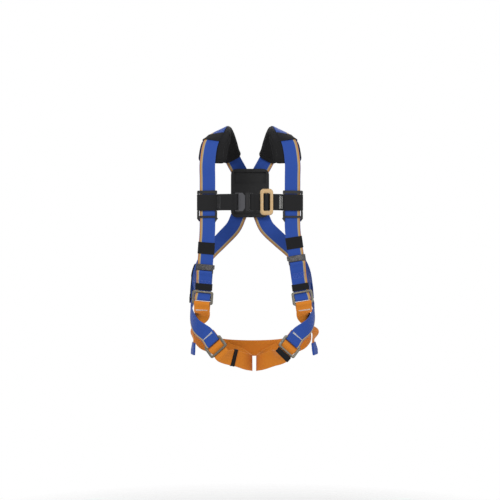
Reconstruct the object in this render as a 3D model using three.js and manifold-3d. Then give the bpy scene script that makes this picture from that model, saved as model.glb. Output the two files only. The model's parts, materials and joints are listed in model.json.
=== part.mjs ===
// Full-body safety harness with one dorsal D-ring, as it lies round a standing wearer.
// Millimetres, +Z up. The wearer faces -Y and the wearer's left is +X.
// The origin is midway between the shoulders, at the height where the straps cross them.

import * as THREE from 'three';
import { mergeVertices } from 'three/addons/utils/BufferGeometryUtils.js';
import Module from 'manifold-3d';

const wasm = await Module();
wasm.setup();

// ---------------------------------------------------------------- driving dimensions

const webbing = { width: 45, thickness: 2.3 };
const clearance = 0.3;
const hardwareClearance = 0.85;

// The wearer. The length runs from the shoulder line down to the hip frames.
const trunk = {
  length: 433,
  chestWidth: 300,
  hipWidth: 320,
  depth: 226,
  neckHalfWidth: 58,
  hipShift: 7,
  squareness: 2.4,
};

const front = {
  strapSpacing: 0.78 * trunk.chestWidth,
  strapDepth: 0.345 * trunk.depth,
  topDrop: 60,
  kneeDrop: 0.573 * trunk.length,
  hipFrameSpacing: 0.855 * trunk.hipWidth,
  hipFrameDepth: 0.301 * trunk.depth,
  yaw: 16,
};

// What differs between the two sides: the adjusters are not drawn up equally.
// The rises are measured up from the hip frame, as shares of the run below the knee.
const sides = {
  right: { sign: -1, name: 'right', adjusterRise: 0.432, keeperRise: 0.735, thighKeeperRun: 122 },
  left: { sign: 1, name: 'left', adjusterRise: 0.567, keeperRise: 0.816, thighKeeperRun: 72 },
};

const chest = { drop: 171.5, bulge: 0.522 * trunk.depth, sewnRun: 40 };
// The carriage's top, foot and steps lie above and below the edges of the chest strap.
const carriage = {
  armWidth: 2.8,
  plate: 3,
  top: 10.5,
  window: 2,
  sill: 14,
  step: 20,
  foot: 35.5,
  shoulder: 2.6,
};
const chestFrame = { width: 36, rim: 12.5, plate: 6, windowWidth: 18, bar: 4, barPlate: 2, x: 43 };
const chestBuckle = {
  seam: -12,
  plugLength: 28,
  socketLength: 20,
  bodyLength: 11,
  bar: 3.4,
  thickness: 11,
  height: webbing.width + 5,
};

const keeper = { wall: 1.2, slack: 0.35, upper: 32, lower: 18 };
const adjuster = { height: 24, plate: 3, wall: 2.2, footBar: 3, slot: 4.5, barRadius: 2.2, barRise: 3.7 };
const hipFrame = { side: 7.7, height: 37, plate: 4, outerBar: 5.5, middleBar: 5, middleDrop: 3 };
const legBuckle = { side: 7.7, height: 38, plate: 4, outerBar: 6 };
const clampBar = { width: 5, near: -1.2, far: 2.3, tongue: 4.5 };

const pad = { outerSide: 5, neckSide: 28, leastSide: 4, thickness: 12 };
const padBand = { firstSection: 5, sections: 4, wall: 2 };
const ring = {
  drop: 130,
  innerHalfWidth: webbing.width / 2 + 14.5,
  wire: 8,
  reach: 60,
  tip: 12,
  tilt: 35,
};
const barRoom = ring.wire / 2 + 1.2;
const ringPlate = {
  halfWidth: webbing.width / 2 + 32.5,
  top: webbing.width + 17,
  foot: webbing.width + 33,
  floor: 1.7,
  standOff: 5,
  bridge: 3,
  bridgeLength: 8,
};
const crossing = {
  upperAngle: 29,
  lowerAngle: 24,
  upperBridge: 1.067 * webbing.width,
  lowerBridge: 1.378 * webbing.width,
};

// Below the hip frames, counted down from them.
const legLoop = {
  buckleAngle: -56,
  buckleDrop: 133,
  slope: 50,
  crotchShift: 12,
  crotchGap: 8,
  crotchDrop: 184,
};
const seat = { backDrop: 152, lift: 3 };
const tail = { top: 83, foot: 159, tipLength: 33, tipWall: 1.4, width: 40 };
// Down a tail: the share of its drop, how far it stands out, and its turn towards the front.
const tailBows = {
  right: [[0.19, 4, 0.25], [0.5, -1, 0.1], [0.76, 1, 0.22], [1, 2, 0.22]],
  left: [[0.19, 11, 0.6], [0.5, 5, 0.15], [0.76, 9, 0.35], [1, 11, 0.3]],
};
const pouch = { top: 81, foot: -7, thickness: 4 };
const clip = { length: 24, width: 16, thickness: 4, across: 12 };

const stepLength = 14;
const half = webbing.thickness / 2;
const layer = webbing.thickness + 2 * clearance;
const plateNear = half + clearance;
const hip = -trunk.length;
const plateFace = trunk.depth / 2 + ringPlate.standOff;

// ---------------------------------------------------------------- colours

const colours = {
  blue: 0x2b45a8,
  orange: 0xdd7d22,
  black: 0x1d1d20,
  padding: 0x232326,
  plastic: 0x18181a,
  greyPlastic: 0x66666a,
  gold: 0xd9ab62,
  steel: 0x8d877a,
};

function material(colour, roughness = 0.85, metalness = 0) {
  return new THREE.MeshStandardMaterial({ color: colours[colour], roughness, metalness });
}

const fabric = (colour) => material(colour);
const metal = (colour) => material(colour, 0.35, 1);
const plastic = (colour) => material(colour, 0.5);

// ---------------------------------------------------------------- joining and cutting

function toSolid(geometry) {
  const plain = geometry.clone();
  plain.deleteAttribute('normal');
  plain.deleteAttribute('uv');
  const merged = mergeVertices(plain, 1e-4);
  const mesh = new wasm.Mesh({
    numProp: 3,
    vertProperties: new Float32Array(merged.attributes.position.array),
    triVerts: new Uint32Array(merged.index.array),
  });
  return new wasm.Manifold(mesh);
}

function toGeometry(solid) {
  const mesh = solid.getMesh();
  const geometry = new THREE.BufferGeometry();
  geometry.setAttribute('position', new THREE.BufferAttribute(new Float32Array(mesh.vertProperties), 3));
  geometry.setIndex(new THREE.BufferAttribute(new Uint32Array(mesh.triVerts), 1));
  geometry.computeVertexNormals();
  return geometry;
}

function join(...geometries) {
  return toGeometry(geometries.map(toSolid).reduce((whole, piece) => whole.add(piece)));
}

function cut(geometry, ...tools) {
  return toGeometry(tools.map(toSolid).reduce((rest, tool) => rest.subtract(tool), toSolid(geometry)));
}

// ---------------------------------------------------------------- local frames
// A piece on the webbing is drawn as if on a flat chest: X across, Z up along the strap,
// and heights over the webbing's middle plane run towards -Y.

function frameAt(origin, up, outward) {
  const z = up.clone().normalize();
  const x = outward.clone().negate().cross(z).normalize();
  const y = z.clone().cross(x);
  return new THREE.Matrix4().makeBasis(x, y, z).setPosition(origin);
}

function inFrame(frame, across, height, along) {
  return new THREE.Vector3(across, -height, along).applyMatrix4(frame);
}

function acrossOf(frame) {
  return new THREE.Vector3().setFromMatrixColumn(frame, 0);
}

function shifted(frame, across, height, along) {
  return frame.clone().multiply(new THREE.Matrix4().makeTranslation(across, -height, along));
}

// ---------------------------------------------------------------- outlines and plates

function roundedBox(Type, width, height, radius, x = 0, y = 0) {
  const path = new Type();
  const left = x - width / 2;
  const low = y - height / 2;
  path.moveTo(left + radius, low);
  path.lineTo(left + width - radius, low);
  path.absarc(left + width - radius, low + radius, radius, -Math.PI / 2, 0);
  path.lineTo(left + width, low + height - radius);
  path.absarc(left + width - radius, low + height - radius, radius, 0, Math.PI / 2);
  path.lineTo(left + radius, low + height);
  path.absarc(left + radius, low + height - radius, radius, Math.PI / 2, Math.PI);
  path.lineTo(left, low + radius);
  path.absarc(left + radius, low + radius, radius, Math.PI, 1.5 * Math.PI);
  return path;
}

function plateOf(shape, near, far, bevel = 0) {
  const geometry = new THREE.ExtrudeGeometry(shape, {
    depth: far - near - 2 * bevel,
    bevelEnabled: bevel > 0,
    bevelThickness: bevel,
    bevelSize: bevel,
    bevelOffset: -bevel,
    bevelSegments: 1,
    curveSegments: 4,
  });
  geometry.rotateX(Math.PI / 2);
  geometry.translate(0, -near - bevel, 0);
  return geometry;
}

function blockOf(x0, x1, near, far, z0, z1) {
  const geometry = new THREE.BoxGeometry(x1 - x0, far - near, z1 - z0);
  geometry.translate((x0 + x1) / 2, -(near + far) / 2, (z0 + z1) / 2);
  return geometry;
}

// ---------------------------------------------------------------- webbing
// A route is a list of stations. A station has a place and either the outward normal of the
// surface it lies on or, where the webbing is threaded through hardware, its width direction.

function on(place, normal) {
  return { place, normal };
}

function threaded(frame, points, sign) {
  const width = acrossOf(frame).multiplyScalar(sign);
  return points.map(([height, along]) => ({ place: inFrame(frame, 0, height, along), width }));
}

// Samples a route into cross-sections: place, width direction and outward direction.
function routeOf(stations, step = stepLength) {
  const curve = new THREE.CatmullRomCurve3(stations.map((station) => station.place), false, 'centripetal');
  const spans = stations.length - 1;
  const widths = stations.map((station, i) => {
    const tangent = curve.getTangent(i / spans);
    return station.width ?? station.normal.clone().cross(tangent).normalize();
  });
  const widthCurve = new THREE.CatmullRomCurve3(widths, false, 'centripetal');
  const sections = [];
  for (let i = 0; i < spans; i += 1) {
    const length = stations[i].place.distanceTo(stations[i + 1].place);
    const pieces = Math.max(2, Math.ceil(length / step));
    for (let j = 0; j < pieces + (i === spans - 1 ? 1 : 0); j += 1) {
      sections.push(sectionAt(curve, widthCurve, (i + j / pieces) / spans));
    }
  }
  return sections;
}

function sectionAt(curve, widthCurve, t) {
  const tangent = curve.getTangent(t);
  const width = widthCurve.getPoint(t);
  width.addScaledVector(tangent, -width.dot(tangent)).normalize();
  return { place: curve.getPoint(t), width, outward: tangent.clone().cross(width), tangent };
}

// A strip along cross-sections. limits(i, last) gives its two edges and its two faces.
function stripOf(sections, limits) {
  const last = sections.length - 1;
  const geometry = new THREE.BoxGeometry(1, 1, 1, 1, 1, last);
  const position = geometry.attributes.position;
  const point = new THREE.Vector3();
  for (let i = 0; i < position.count; i += 1) {
    const index = Math.round((position.getZ(i) + 0.5) * last);
    const section = sections[index];
    const [edgeLow, edgeHigh, faceLow, faceHigh] = limits(index, last);
    const across = position.getX(i) < 0 ? edgeLow : edgeHigh;
    const height = position.getY(i) < 0 ? faceLow : faceHigh;
    point.copy(section.place);
    point.addScaledVector(section.width, across);
    point.addScaledVector(section.outward, height);
    position.setXYZ(i, point.x, point.y, point.z);
  }
  geometry.computeVertexNormals();
  return geometry;
}

function webbingOf(sections, width = webbing.width) {
  return stripOf(sections, () => [-width / 2, width / 2, -half, half]);
}

// Places [height, along] of webbing laid close round a bar, at the given angles from the front.
function aroundBar(bar, angles) {
  const soft = 1;
  const reach = soft + half + hardwareClearance;
  return angles.map((degrees) => {
    const angle = THREE.MathUtils.degToRad(degrees);
    const middle = (bar.near + bar.far) / 2;
    const height = middle + Math.sign(Math.cos(angle)) * ((bar.far - bar.near) / 2 - soft);
    const along = (bar.low + bar.high) / 2 + Math.sign(Math.sin(angle)) * ((bar.high - bar.low) / 2 - soft);
    return [height + reach * Math.cos(angle), along + reach * Math.sin(angle)];
  });
}

// ---------------------------------------------------------------- the wearer's trunk

const vec = (x, y, z) => new THREE.Vector3(x, y, z);

// Half width, half depth and sideways shift of the trunk at a height.
function trunkSection(z) {
  const rows = [
    [-60, trunk.chestWidth / 2 - 8, trunk.depth / 2 - 12, 0],
    [-170, trunk.chestWidth / 2, trunk.depth / 2, 0],
    [hip + 185, trunk.chestWidth / 2 - 10, trunk.depth / 2 - 14, 0],
    [hip + 133, trunk.chestWidth / 2 - 6, trunk.depth / 2 - 12, trunk.hipShift / 2],
    [hip, trunk.hipWidth / 2 - 2, trunk.depth / 2 - 3, trunk.hipShift],
    [hip - 90, trunk.hipWidth / 2, trunk.depth / 2 + 2, trunk.hipShift],
    [hip - 200, trunk.hipWidth / 2 - 4, trunk.depth / 2, trunk.hipShift],
  ];
  let i = 0;
  while (i < rows.length - 2 && z < rows[i + 1][0]) {
    i += 1;
  }
  const share = (z - rows[i][0]) / (rows[i + 1][0] - rows[i][0]);
  return rows[i].map((value, k) => value + share * (rows[i + 1][k] - value)).slice(1);
}

// A station on the trunk. The angle is 0 at the side named by sign, negative to the front.
function aroundTrunk(sign, degrees, z, lift) {
  const [halfWidth, halfDepth, shift] = trunkSection(z);
  const angle = THREE.MathUtils.degToRad(degrees);
  const power = 2 / trunk.squareness;
  const x = Math.sign(Math.cos(angle)) * Math.abs(Math.cos(angle)) ** power;
  const y = Math.sign(Math.sin(angle)) * Math.abs(Math.sin(angle)) ** power;
  const steep = trunk.squareness - 1;
  const normal = vec(
    (sign * Math.sign(x) * Math.abs(x) ** steep) / halfWidth,
    (Math.sign(y) * Math.abs(y) ** steep) / halfDepth,
    0,
  ).normalize();
  const place = vec(shift + sign * x * halfWidth, y * halfDepth, z);
  return on(place.addScaledVector(normal, lift), normal);
}

// ---------------------------------------------------------------- places on the front straps

function frontOutward(sign) {
  const yaw = THREE.MathUtils.degToRad(front.yaw);
  return vec(sign * Math.sin(yaw), -Math.cos(yaw), 0);
}

const kneeAt = (sign) => vec((sign * front.strapSpacing) / 2, -front.strapDepth, -front.kneeDrop);

function hipPlace(sign) {
  return vec((sign * front.hipFrameSpacing) / 2 + trunk.hipShift, -front.hipFrameDepth, -trunk.length);
}

// A frame on the upper run of the shoulder strap, which is upright and straight.
function upperFrame(sign, drop) {
  const knee = kneeAt(sign);
  return frameAt(vec(knee.x, knee.y, -drop), vec(0, 0, 1), frontOutward(sign));
}

// A frame on the lower run. The rise is 0 at the hip frame and 1 at the knee.
function lowerFrame(sign, rise) {
  const knee = kneeAt(sign);
  const low = hipPlace(sign);
  return frameAt(low.clone().lerp(knee, rise), knee.clone().sub(low), frontOutward(sign));
}

// How far above the hip frame, along the strap, a rise is.
const runOf = (sign, rise) => rise * kneeAt(sign).distanceTo(hipPlace(sign));

// ---------------------------------------------------------------- shoulder straps

// Stations over the shoulder, from the top of the upright run to above the ring plate.
// Places back from the middle are shares of the trunk's depth.
function overShoulder(sign) {
  const x = front.strapSpacing / 2;
  const y = (share) => share * trunk.depth;
  return [
    on(vec(sign * (x - 8), y(-0.296), -8), vec(sign * 0.3, -0.9, 0.25)),
    on(vec(sign * (x - 19), y(-0.221), 12), vec(sign * 0.38, -0.72, 0.55)),
    on(vec(sign * (x - 29), y(-0.106), 29), vec(sign * 0.42, -0.35, 0.84)),
    on(vec(sign * (x - 35), y(0.027), 36), vec(sign * 0.42, 0.05, 0.9)),
    on(vec(sign * (x - 42), y(0.186), 27), vec(sign * 0.34, 0.42, 0.84)),
    on(vec(sign * (x - 51), y(0.336), 3), vec(sign * 0.22, 0.75, 0.6)),
    on(vec(sign * (x - 58), plateFace - 12, -20), vec(sign * 0.1, 0.93, 0.35)),
  ];
}

// Stations across the ring plate. The strap of the left shoulder lies under the other one.
function acrossPlate(sign) {
  const depth = plateFace + half + clearance + (sign < 0 ? layer : 0);
  const outward = vec(0, 1, 0);
  const upper = Math.tan(THREE.MathUtils.degToRad(crossing.upperAngle));
  const lower = Math.tan(THREE.MathUtils.degToRad(crossing.lowerAngle));
  return [-84, -62, -40, -12, 12, 40, 74, 104].map((drop) => {
    const x = sign * -drop * (drop < 0 ? upper : lower);
    return on(vec(x, depth, -ring.drop - drop), outward);
  });
}

// At the hip the back strap lies outside the leg strap, which it is sewn to.
const hipStack = seat.lift + 2 * layer + 3;

function downBack(sign) {
  return [
    aroundTrunk(-sign, 60, hip + 161, seat.lift + 3),
    aroundTrunk(-sign, 43, hip + 130, seat.lift),
    aroundTrunk(-sign, 28, hip + 99, seat.lift + layer),
    aroundTrunk(-sign, 17, hip + 65, hipStack),
    aroundTrunk(-sign, 7, hip + 25, hipStack),
    aroundTrunk(-sign, 2, hip - 9, hipStack),
  ];
}

function shoulderRoute(side) {
  const { sign } = side;
  const buckle = lowerFrame(sign, side.adjusterRise);
  const lowerEnd = hipFrame.height / 2 + 3 - runOf(sign, side.adjusterRise);
  const low = -adjuster.height / 2;
  const lowPoints = [
    [-layer, lowerEnd],
    [-layer, lowerEnd * 0.6],
    [-layer - 0.2, low - 10],
    [-layer - 0.3, low + 2.5],
    [0, 0],
    [0, 14],
    [0, 30],
  ];
  const bend = 12;
  const top = upperFrame(sign, front.topDrop);
  return routeOf([
    ...threaded(buckle, lowPoints, -1),
    ...threaded(shifted(lowerFrame(sign, 1), 0, 0, -bend), [[0, 0]], -1),
    ...threaded(upperFrame(sign, front.kneeDrop - bend), [[0, 0]], -1),
    ...threaded(top, [[0, -50], [0, 0]], -1),
    ...overShoulder(sign),
    ...acrossPlate(sign),
    ...downBack(sign),
  ]);
}

const shoulderRoutes = { left: shoulderRoute(sides.left), right: shoulderRoute(sides.right) };

// ---------------------------------------------------------------- shoulder pads and bands

// The part of a shoulder strap's route between two places, counted by nearest section.
function stretchOf(route, from, to) {
  const nearest = (place) => {
    const distances = route.map((section) => section.place.distanceTo(place));
    return distances.indexOf(Math.min(...distances));
  };
  return route.slice(nearest(from), nearest(to) + 1);
}

function padStretch(side) {
  const x = side.sign * front.strapSpacing / 2;
  const low = vec(x, -front.strapDepth, -front.topDrop);
  return stretchOf(shoulderRoutes[side.name], low, vec(x * 0.5, plateFace, -45));
}

// Limits across a strap, given from its outer edge to its neck edge, for either shoulder.
function towardsNeck(side, outer, inner) {
  return side.sign > 0 ? [-outer, inner] : [-inner, outer];
}

// How far the pad reaches from the strap's middle towards the neck at one section.
function neckReach({ place, width }) {
  const toNeck = (Math.abs(place.x) - trunk.neckHalfWidth) / Math.abs(width.x);
  const least = webbing.width / 2 + pad.leastSide;
  return Math.min(webbing.width / 2 + pad.neckSide, Math.max(least, toNeck));
}

// The pad is wider than the strap on the neck side, and its ends are rounded.
function padGeometry(side) {
  const stretch = padStretch(side);
  const last = stretch.length - 1;
  const outer = webbing.width / 2 + pad.outerSide;
  const high = -half - clearance;
  const shares = [0.5, 0.85, 1];
  const body = stripOf(stretch, (i) => {
    const share = shares[Math.min(i, last - i, 2)];
    const limits = towardsNeck(side, outer * share, neckReach(stretch[i]) * share);
    return [...limits, high - pad.thickness * share, high];
  });
  const wide = 2 * webbing.width;
  return cut(body, stripOf(shoulderRoutes[side.name], () => [-wide, wide, high, pad.thickness]));
}

// A band sewn to both edges of the pad, which holds the strap down on it.
function bandGeometry(side) {
  const stretch = padStretch(side).slice(padBand.firstSection, padBand.firstSection + padBand.sections);
  const outer = webbing.width / 2 + pad.outerSide + 1;
  const low = half + clearance;
  const cover = stripOf(stretch, (i) => {
    const inner = neckReach(stretch[i]) - 1;
    return [...towardsNeck(side, outer, inner), -half, low + padBand.wall];
  });
  const edge = webbing.width / 2 + 2 * clearance;
  const room = stripOf(shoulderRoutes[side.name], () => [-edge, edge, -2 * low, low]);
  return cut(cover, room);
}

// ---------------------------------------------------------------- parts on the shoulder straps

// An elastic loop round the strap; deep is how far it reaches behind the strap's middle plane.
function keeperGeometry(height, deep = half) {
  const insideHalfWidth = webbing.width / 2 + keeper.slack;
  const near = -deep - keeper.slack;
  const far = half + keeper.slack;
  const outside = blockOf(
    -insideHalfWidth - keeper.wall, insideHalfWidth + keeper.wall,
    near - keeper.wall, far + keeper.wall, -height / 2, height / 2,
  );
  return cut(outside, blockOf(-insideHalfWidth, insideHalfWidth, near, far, -height, height));
}

// The carriage: a flat frame in front of the strap whose foot passes behind the strap.
function carriageGeometry() {
  const edge = webbing.width / 2;
  const inner = edge + 0.7;
  const neck = inner + carriage.armWidth;
  const wide = neck + carriage.shoulder;
  const top = edge + carriage.top;
  const step = edge + carriage.step;
  const foot = edge + carriage.foot;
  const far = plateNear + carriage.plate;
  const corner = [[wide, -step - 1.5], [wide - 9, 1 - foot], [wide - 14, -foot]];
  const shoulder = [[wide - 2, top], [wide, top - 2]];
  const sideline = [...shoulder, [wide, inner], [neck, inner], [neck, -inner], [wide, -inner]];
  const outline = mirroredShape([...sideline, ...corner]);
  const high = edge + carriage.window;
  const low = -edge - carriage.sill;
  outline.holes.push(roundedBox(THREE.Path, 2 * inner, high - low, 1.5, 0, (high + low) / 2));
  const footWindow = roundedBox(THREE.Shape, 2 * inner, 60, 1.5, 0, -foot - 14);
  const opened = cut(plateOf(outline, plateNear, far), plateOf(footWindow, 0, far + 1));
  const cutback = [[inner - 7, 6 - foot], [inner, -step - 3.5], [inner, -step]];
  const behind = mirroredShape([[wide, -step], ...corner], cutback);
  const arms = [-1, 1].map((s) => blockOf(
    Math.min(s * inner, s * wide), Math.max(s * inner, s * wide),
    -plateNear - carriage.plate, far, -step - 3.5, -step,
  ));
  return join(opened, plateOf(behind, -plateNear - carriage.plate, -plateNear), ...arms);
}

// A shape from its right-hand outline, top to bottom, and the same mirrored. An inner outline,
// bottom to top, makes it a U.
function mirroredShape(right, inner = []) {
  const left = ([x, z]) => [-x, z];
  const points = [...right, ...[...right].reverse().map(left), ...[...inner].reverse().map(left), ...inner];
  const shape = new THREE.Shape();
  points.forEach(([x, z], i) => (i ? shape.lineTo(x, z) : shape.moveTo(x, z)));
  return shape;
}

// Torso adjuster: a folded plate with side flanges; the strap runs between plate and clamp bar.
function adjusterGeometry() {
  const inner = webbing.width / 2 + 0.5;
  const wide = inner + adjuster.wall;
  const top = adjuster.height / 2;
  const outline = roundedBox(THREE.Shape, 2 * wide, adjuster.height, 1.5);
  const slotMiddle = adjuster.footBar + adjuster.slot / 2 - top;
  outline.holes.push(roundedBox(THREE.Path, 2 * inner, adjuster.slot, 1, 0, slotMiddle));
  const face = plateOf(outline, plateNear, plateNear + adjuster.plate, 0.6);
  const flanges = [-1, 1].map((s) => {
    const x0 = Math.min(s * inner, s * wide);
    return blockOf(x0, x0 + adjuster.wall, -8, plateNear + 1, -1, top - 1.5);
  });
  const grooves = [-1, 1].map((s) => blockOf(s * wide - 4, s * wide + 4, -6.8, -1.4, 1.2, 10));
  return cut(join(face, ...flanges), ...grooves);
}

// The clamp bar lies behind the strap and runs in the grooves of the flanges.
function adjusterBarGeometry() {
  const reach = webbing.width / 2 + 0.5 + adjuster.wall;
  const geometry = new THREE.CylinderGeometry(adjuster.barRadius, adjuster.barRadius, 2 * reach, 10);
  geometry.rotateZ(Math.PI / 2);
  geometry.translate(0, plateNear + adjuster.barRadius, adjuster.barRise);
  return geometry;
}

// Three-bar link at the hip: the middle bar carries the hip strap, the lower one the seat strap.
function threeBarGeometry(size, middleBar) {
  const windowWidth = webbing.width + 1.6;
  const outline = roundedBox(THREE.Shape, windowWidth + 2 * size.side - 0.8, size.height, 6);
  const inner = size.height / 2 - size.outerBar;
  if (middleBar > 0) {
    const low = -size.middleDrop - middleBar / 2;
    const high = low + middleBar;
    outline.holes.push(roundedBox(THREE.Path, windowWidth, inner - high, 1.5, 0, (inner + high) / 2));
    outline.holes.push(roundedBox(THREE.Path, windowWidth, inner + low, 1.5, 0, (low - inner) / 2));
  } else {
    outline.holes.push(roundedBox(THREE.Path, windowWidth, 2 * inner, 3));
  }
  return plateOf(outline, plateNear, plateNear + size.plate, 1);
}

// The clamp bar of a leg buckle: a flat bar whose thin ends lie behind the buckle's sides.
function clampBarGeometry() {
  const inside = webbing.width / 2 + 0.4;
  const reach = inside + clampBar.tongue;
  const w = clampBar.width / 2;
  const body = blockOf(-inside, inside, clampBar.near, clampBar.far, -w, w);
  return join(body, blockOf(-reach, reach, clampBar.near, plateNear - clearance, 1 - w, w - 1));
}

// ---------------------------------------------------------------- blue hip straps

const plateFar = (plate) => plateNear + plate;

// One bar of a plate that lies on the webbing, for aroundBar.
function barOf(plate, low, height) {
  return { near: plateNear, far: plateFar(plate), low, high: low + height };
}

function hipStrapRoute(side) {
  const link = lowerFrame(side.sign, 0);
  const buckle = lowerFrame(side.sign, side.adjusterRise);
  const low = -adjuster.height / 2;
  const over = aroundBar(barOf(adjuster.plate, low, adjuster.footBar), [180, 135, 100, 80, 45, 0]);
  const barLow = -hipFrame.middleDrop - hipFrame.middleBar / 2;
  const bar = barOf(hipFrame.plate, barLow, hipFrame.middleBar);
  const under = aroundBar(bar, [40, 0, -45, -80, -100, -135, -180]);
  const topBar = hipFrame.height / 2 - hipFrame.outerBar;
  const back = [[layer + 0.9, low - 9], [layer, low - 17], [0.2, low - 30]];
  const atBuckle = [[0, low - 18], [0, low - 8], ...over, ...back];
  return routeOf([
    ...threaded(buckle, atBuckle, 1),
    ...threaded(link, [[0, topBar + 14], [0, topBar + 5]], 1),
    ...threaded(link, [[0, topBar - 1], ...under, [-layer, 6], [-layer, topBar + 2]], 1),
  ]);
}

// ---------------------------------------------------------------- orange seat strap

// The seat strap's sewn loop round the lowest bar of a hip frame.
function seatEnd() {
  const low = -hipFrame.height / 2;
  const loop = aroundBar(barOf(hipFrame.plate, low, hipFrame.outerBar), [180, 135, 100, 80, 45, 0, -25]);
  const ending = [[layer + 1.5, low - 8], [layer + 0.3, low - 15], [-1.5, low - 29]];
  return [[0, low - 17], [0, low - 9], ...loop, ...ending];
}

function seatHalf(sign) {
  return [
    aroundTrunk(sign, -19, hip - 61, seat.lift),
    aroundTrunk(sign, -5, hip - 85, seat.lift),
    aroundTrunk(sign, 12, hip - 110, seat.lift),
    aroundTrunk(sign, 36, hip - 134, seat.lift),
    aroundTrunk(sign, 62, hip - 147, seat.lift),
  ];
}

function seatRoute() {
  return routeOf([
    ...threaded(lowerFrame(-1, 0), seatEnd(), 1),
    ...seatHalf(-1),
    aroundTrunk(1, 90, hip - seat.backDrop, seat.lift),
    ...seatHalf(1).reverse(),
    ...threaded(lowerFrame(1, 0), seatEnd().reverse(), -1),
  ]);
}

// ---------------------------------------------------------------- leg loops

function buckleFrame(sign) {
  const station = aroundTrunk(sign, legLoop.buckleAngle, hip - legLoop.buckleDrop, 5);
  const slope = THREE.MathUtils.degToRad(legLoop.slope);
  const level = vec(0, 0, 1).cross(station.normal).multiplyScalar(sign);
  const up = level.multiplyScalar(Math.cos(slope)).addScaledVector(vec(0, 0, 1), Math.sin(slope));
  return frameAt(station.place, up, station.normal);
}

function legStrapRoute(side) {
  const { sign } = side;
  const frame = buckleFrame(sign);
  const top = legBuckle.height / 2;
  const bar = barOf(legBuckle.plate, top - legBuckle.outerBar, legBuckle.outerBar);
  const loop = aroundBar(bar, [25, 0, -45, -80, -100, -135, 180]);
  const outside = seat.lift + layer + 0.48 * webbing.width - 13.6;
  const atBuckle = [[layer + 0.6, top + 22], [layer + 0.6, top + 14], [layer + 1.7, top + 7], ...loop];
  return routeOf([
    aroundTrunk(sign, 8, hip + 31, hipStack - layer),
    aroundTrunk(sign, 2, hip - 1, seat.lift + layer),
    aroundTrunk(sign, -4, hip - 31, outside),
    aroundTrunk(sign, -14, hip - 54, outside),
    aroundTrunk(sign, -28, hip - 79, outside),
    ...threaded(frame, atBuckle, 1),
    ...threaded(frame, [[0, top + 10], [0, top + 18]], 1),
  ]);
}

// Stations round the inner thigh, from below the seat to the front.
function innerThigh(sign) {
  const place = (x, share, rise) => vec(
    legLoop.crotchShift + sign * (legLoop.crotchGap + x),
    share * trunk.depth,
    hip - legLoop.crotchDrop + rise,
  );
  return [
    on(place(36, 0.447, 13), vec(-sign * 0.2, 0.95, -0.1).normalize()),
    on(place(12, 0.274, 1), vec(-sign * 0.85, 0.45, -0.2).normalize()),
    on(place(0, 0.097, -3), vec(-sign, 0, 0)),
    on(place(0, -0.062, 0), vec(-sign, -0.15, 0).normalize()),
    on(place(16, -0.212, 6), vec(-sign * 0.7, -0.7, 0).normalize()),
    on(place(44, -0.345, 18), vec(-sign * 0.25, -0.95, 0.05).normalize()),
  ];
}

function thighStrapRoute(side) {
  const { sign } = side;
  const frame = buckleFrame(sign);
  const top = legBuckle.height / 2;
  const over = clampBar.far + half + 0.8;
  return routeOf([
    aroundTrunk(sign, 64, hip - 155, 2 - layer),
    ...innerThigh(sign),
    ...threaded(frame, [[0, -top - 12], [0, 2 - top], [0, 7 - top]], -1),
    ...threaded(frame, [[over - 0.6, -4.6], [over, 0], [over - 0.6, 4.6]], -1),
    ...threaded(frame, [[-layer, top - 8], [-layer, top + 6], [-layer, top + 22]], -1),
  ]);
}

function tailRoute(side) {
  const { sign } = side;
  const start = aroundTrunk(sign, -9, hip - tail.top, seat.lift + layer);
  const { x, y, z } = start.place;
  const hang = ([share, out, turn]) => {
    const drop = share * (tail.foot - tail.top);
    return on(vec(x + sign * out, y, z - drop), vec(sign, -turn, 0).normalize());
  };
  return routeOf([start, ...tailBows[side.name].map(hang)]);
}

// ---------------------------------------------------------------- chest strap

// Stations along the chest, from the right carriage to the left one.
function chestStation(x, lift = 0) {
  const reach = front.strapSpacing / 2;
  const rise = (chest.bulge - front.strapDepth) * (1 - Math.abs(x / reach) ** 2.2);
  const slope = (-2.2 * (chest.bulge - front.strapDepth) * Math.sign(x) * Math.abs(x / reach) ** 1.2) / reach;
  const normal = vec(-slope, -1, 0).normalize();
  const place = vec(x, -front.strapDepth - rise, -chest.drop);
  return on(place.addScaledVector(normal, plateNear + carriage.plate + plateNear + lift), normal);
}

// ---------------------------------------------------------------- dorsal ring and its plate

const ringCentre = vec(0, plateFace - barRoom, -ring.drop);

function ringGeometry() {
  const inner = ring.innerHalfWidth;
  const outer = inner + ring.wire;
  const outline = new THREE.Shape();
  outline.moveTo(-outer, ring.wire / 2);
  outline.lineTo(-outer, -14);
  outline.bezierCurveTo(-outer, -48, -28, -ring.reach - ring.tip, 0, -ring.reach - ring.tip);
  outline.bezierCurveTo(28, -ring.reach - ring.tip, outer, -48, outer, -14);
  outline.lineTo(outer, ring.wire / 2);
  const hole = new THREE.Path();
  hole.moveTo(-inner, -ring.wire / 2);
  hole.lineTo(inner, -ring.wire / 2);
  hole.lineTo(inner, -14);
  hole.bezierCurveTo(inner, -42, 22, -ring.reach, 0, -ring.reach);
  hole.bezierCurveTo(-22, -ring.reach, -inner, -42, -inner, -14);
  outline.holes.push(hole);
  const geometry = new THREE.ExtrudeGeometry(outline, {
    depth: ring.wire - 3,
    bevelThickness: 1.5,
    bevelSize: 1.5,
    bevelOffset: -1.5,
    bevelSegments: 1,
    curveSegments: 10,
  });
  geometry.rotateX(Math.PI / 2);
  geometry.translate(0, ring.wire / 2 - 1.5, 0);
  geometry.rotateX(-THREE.MathUtils.degToRad(ring.tilt));
  return geometry;
}

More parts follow.
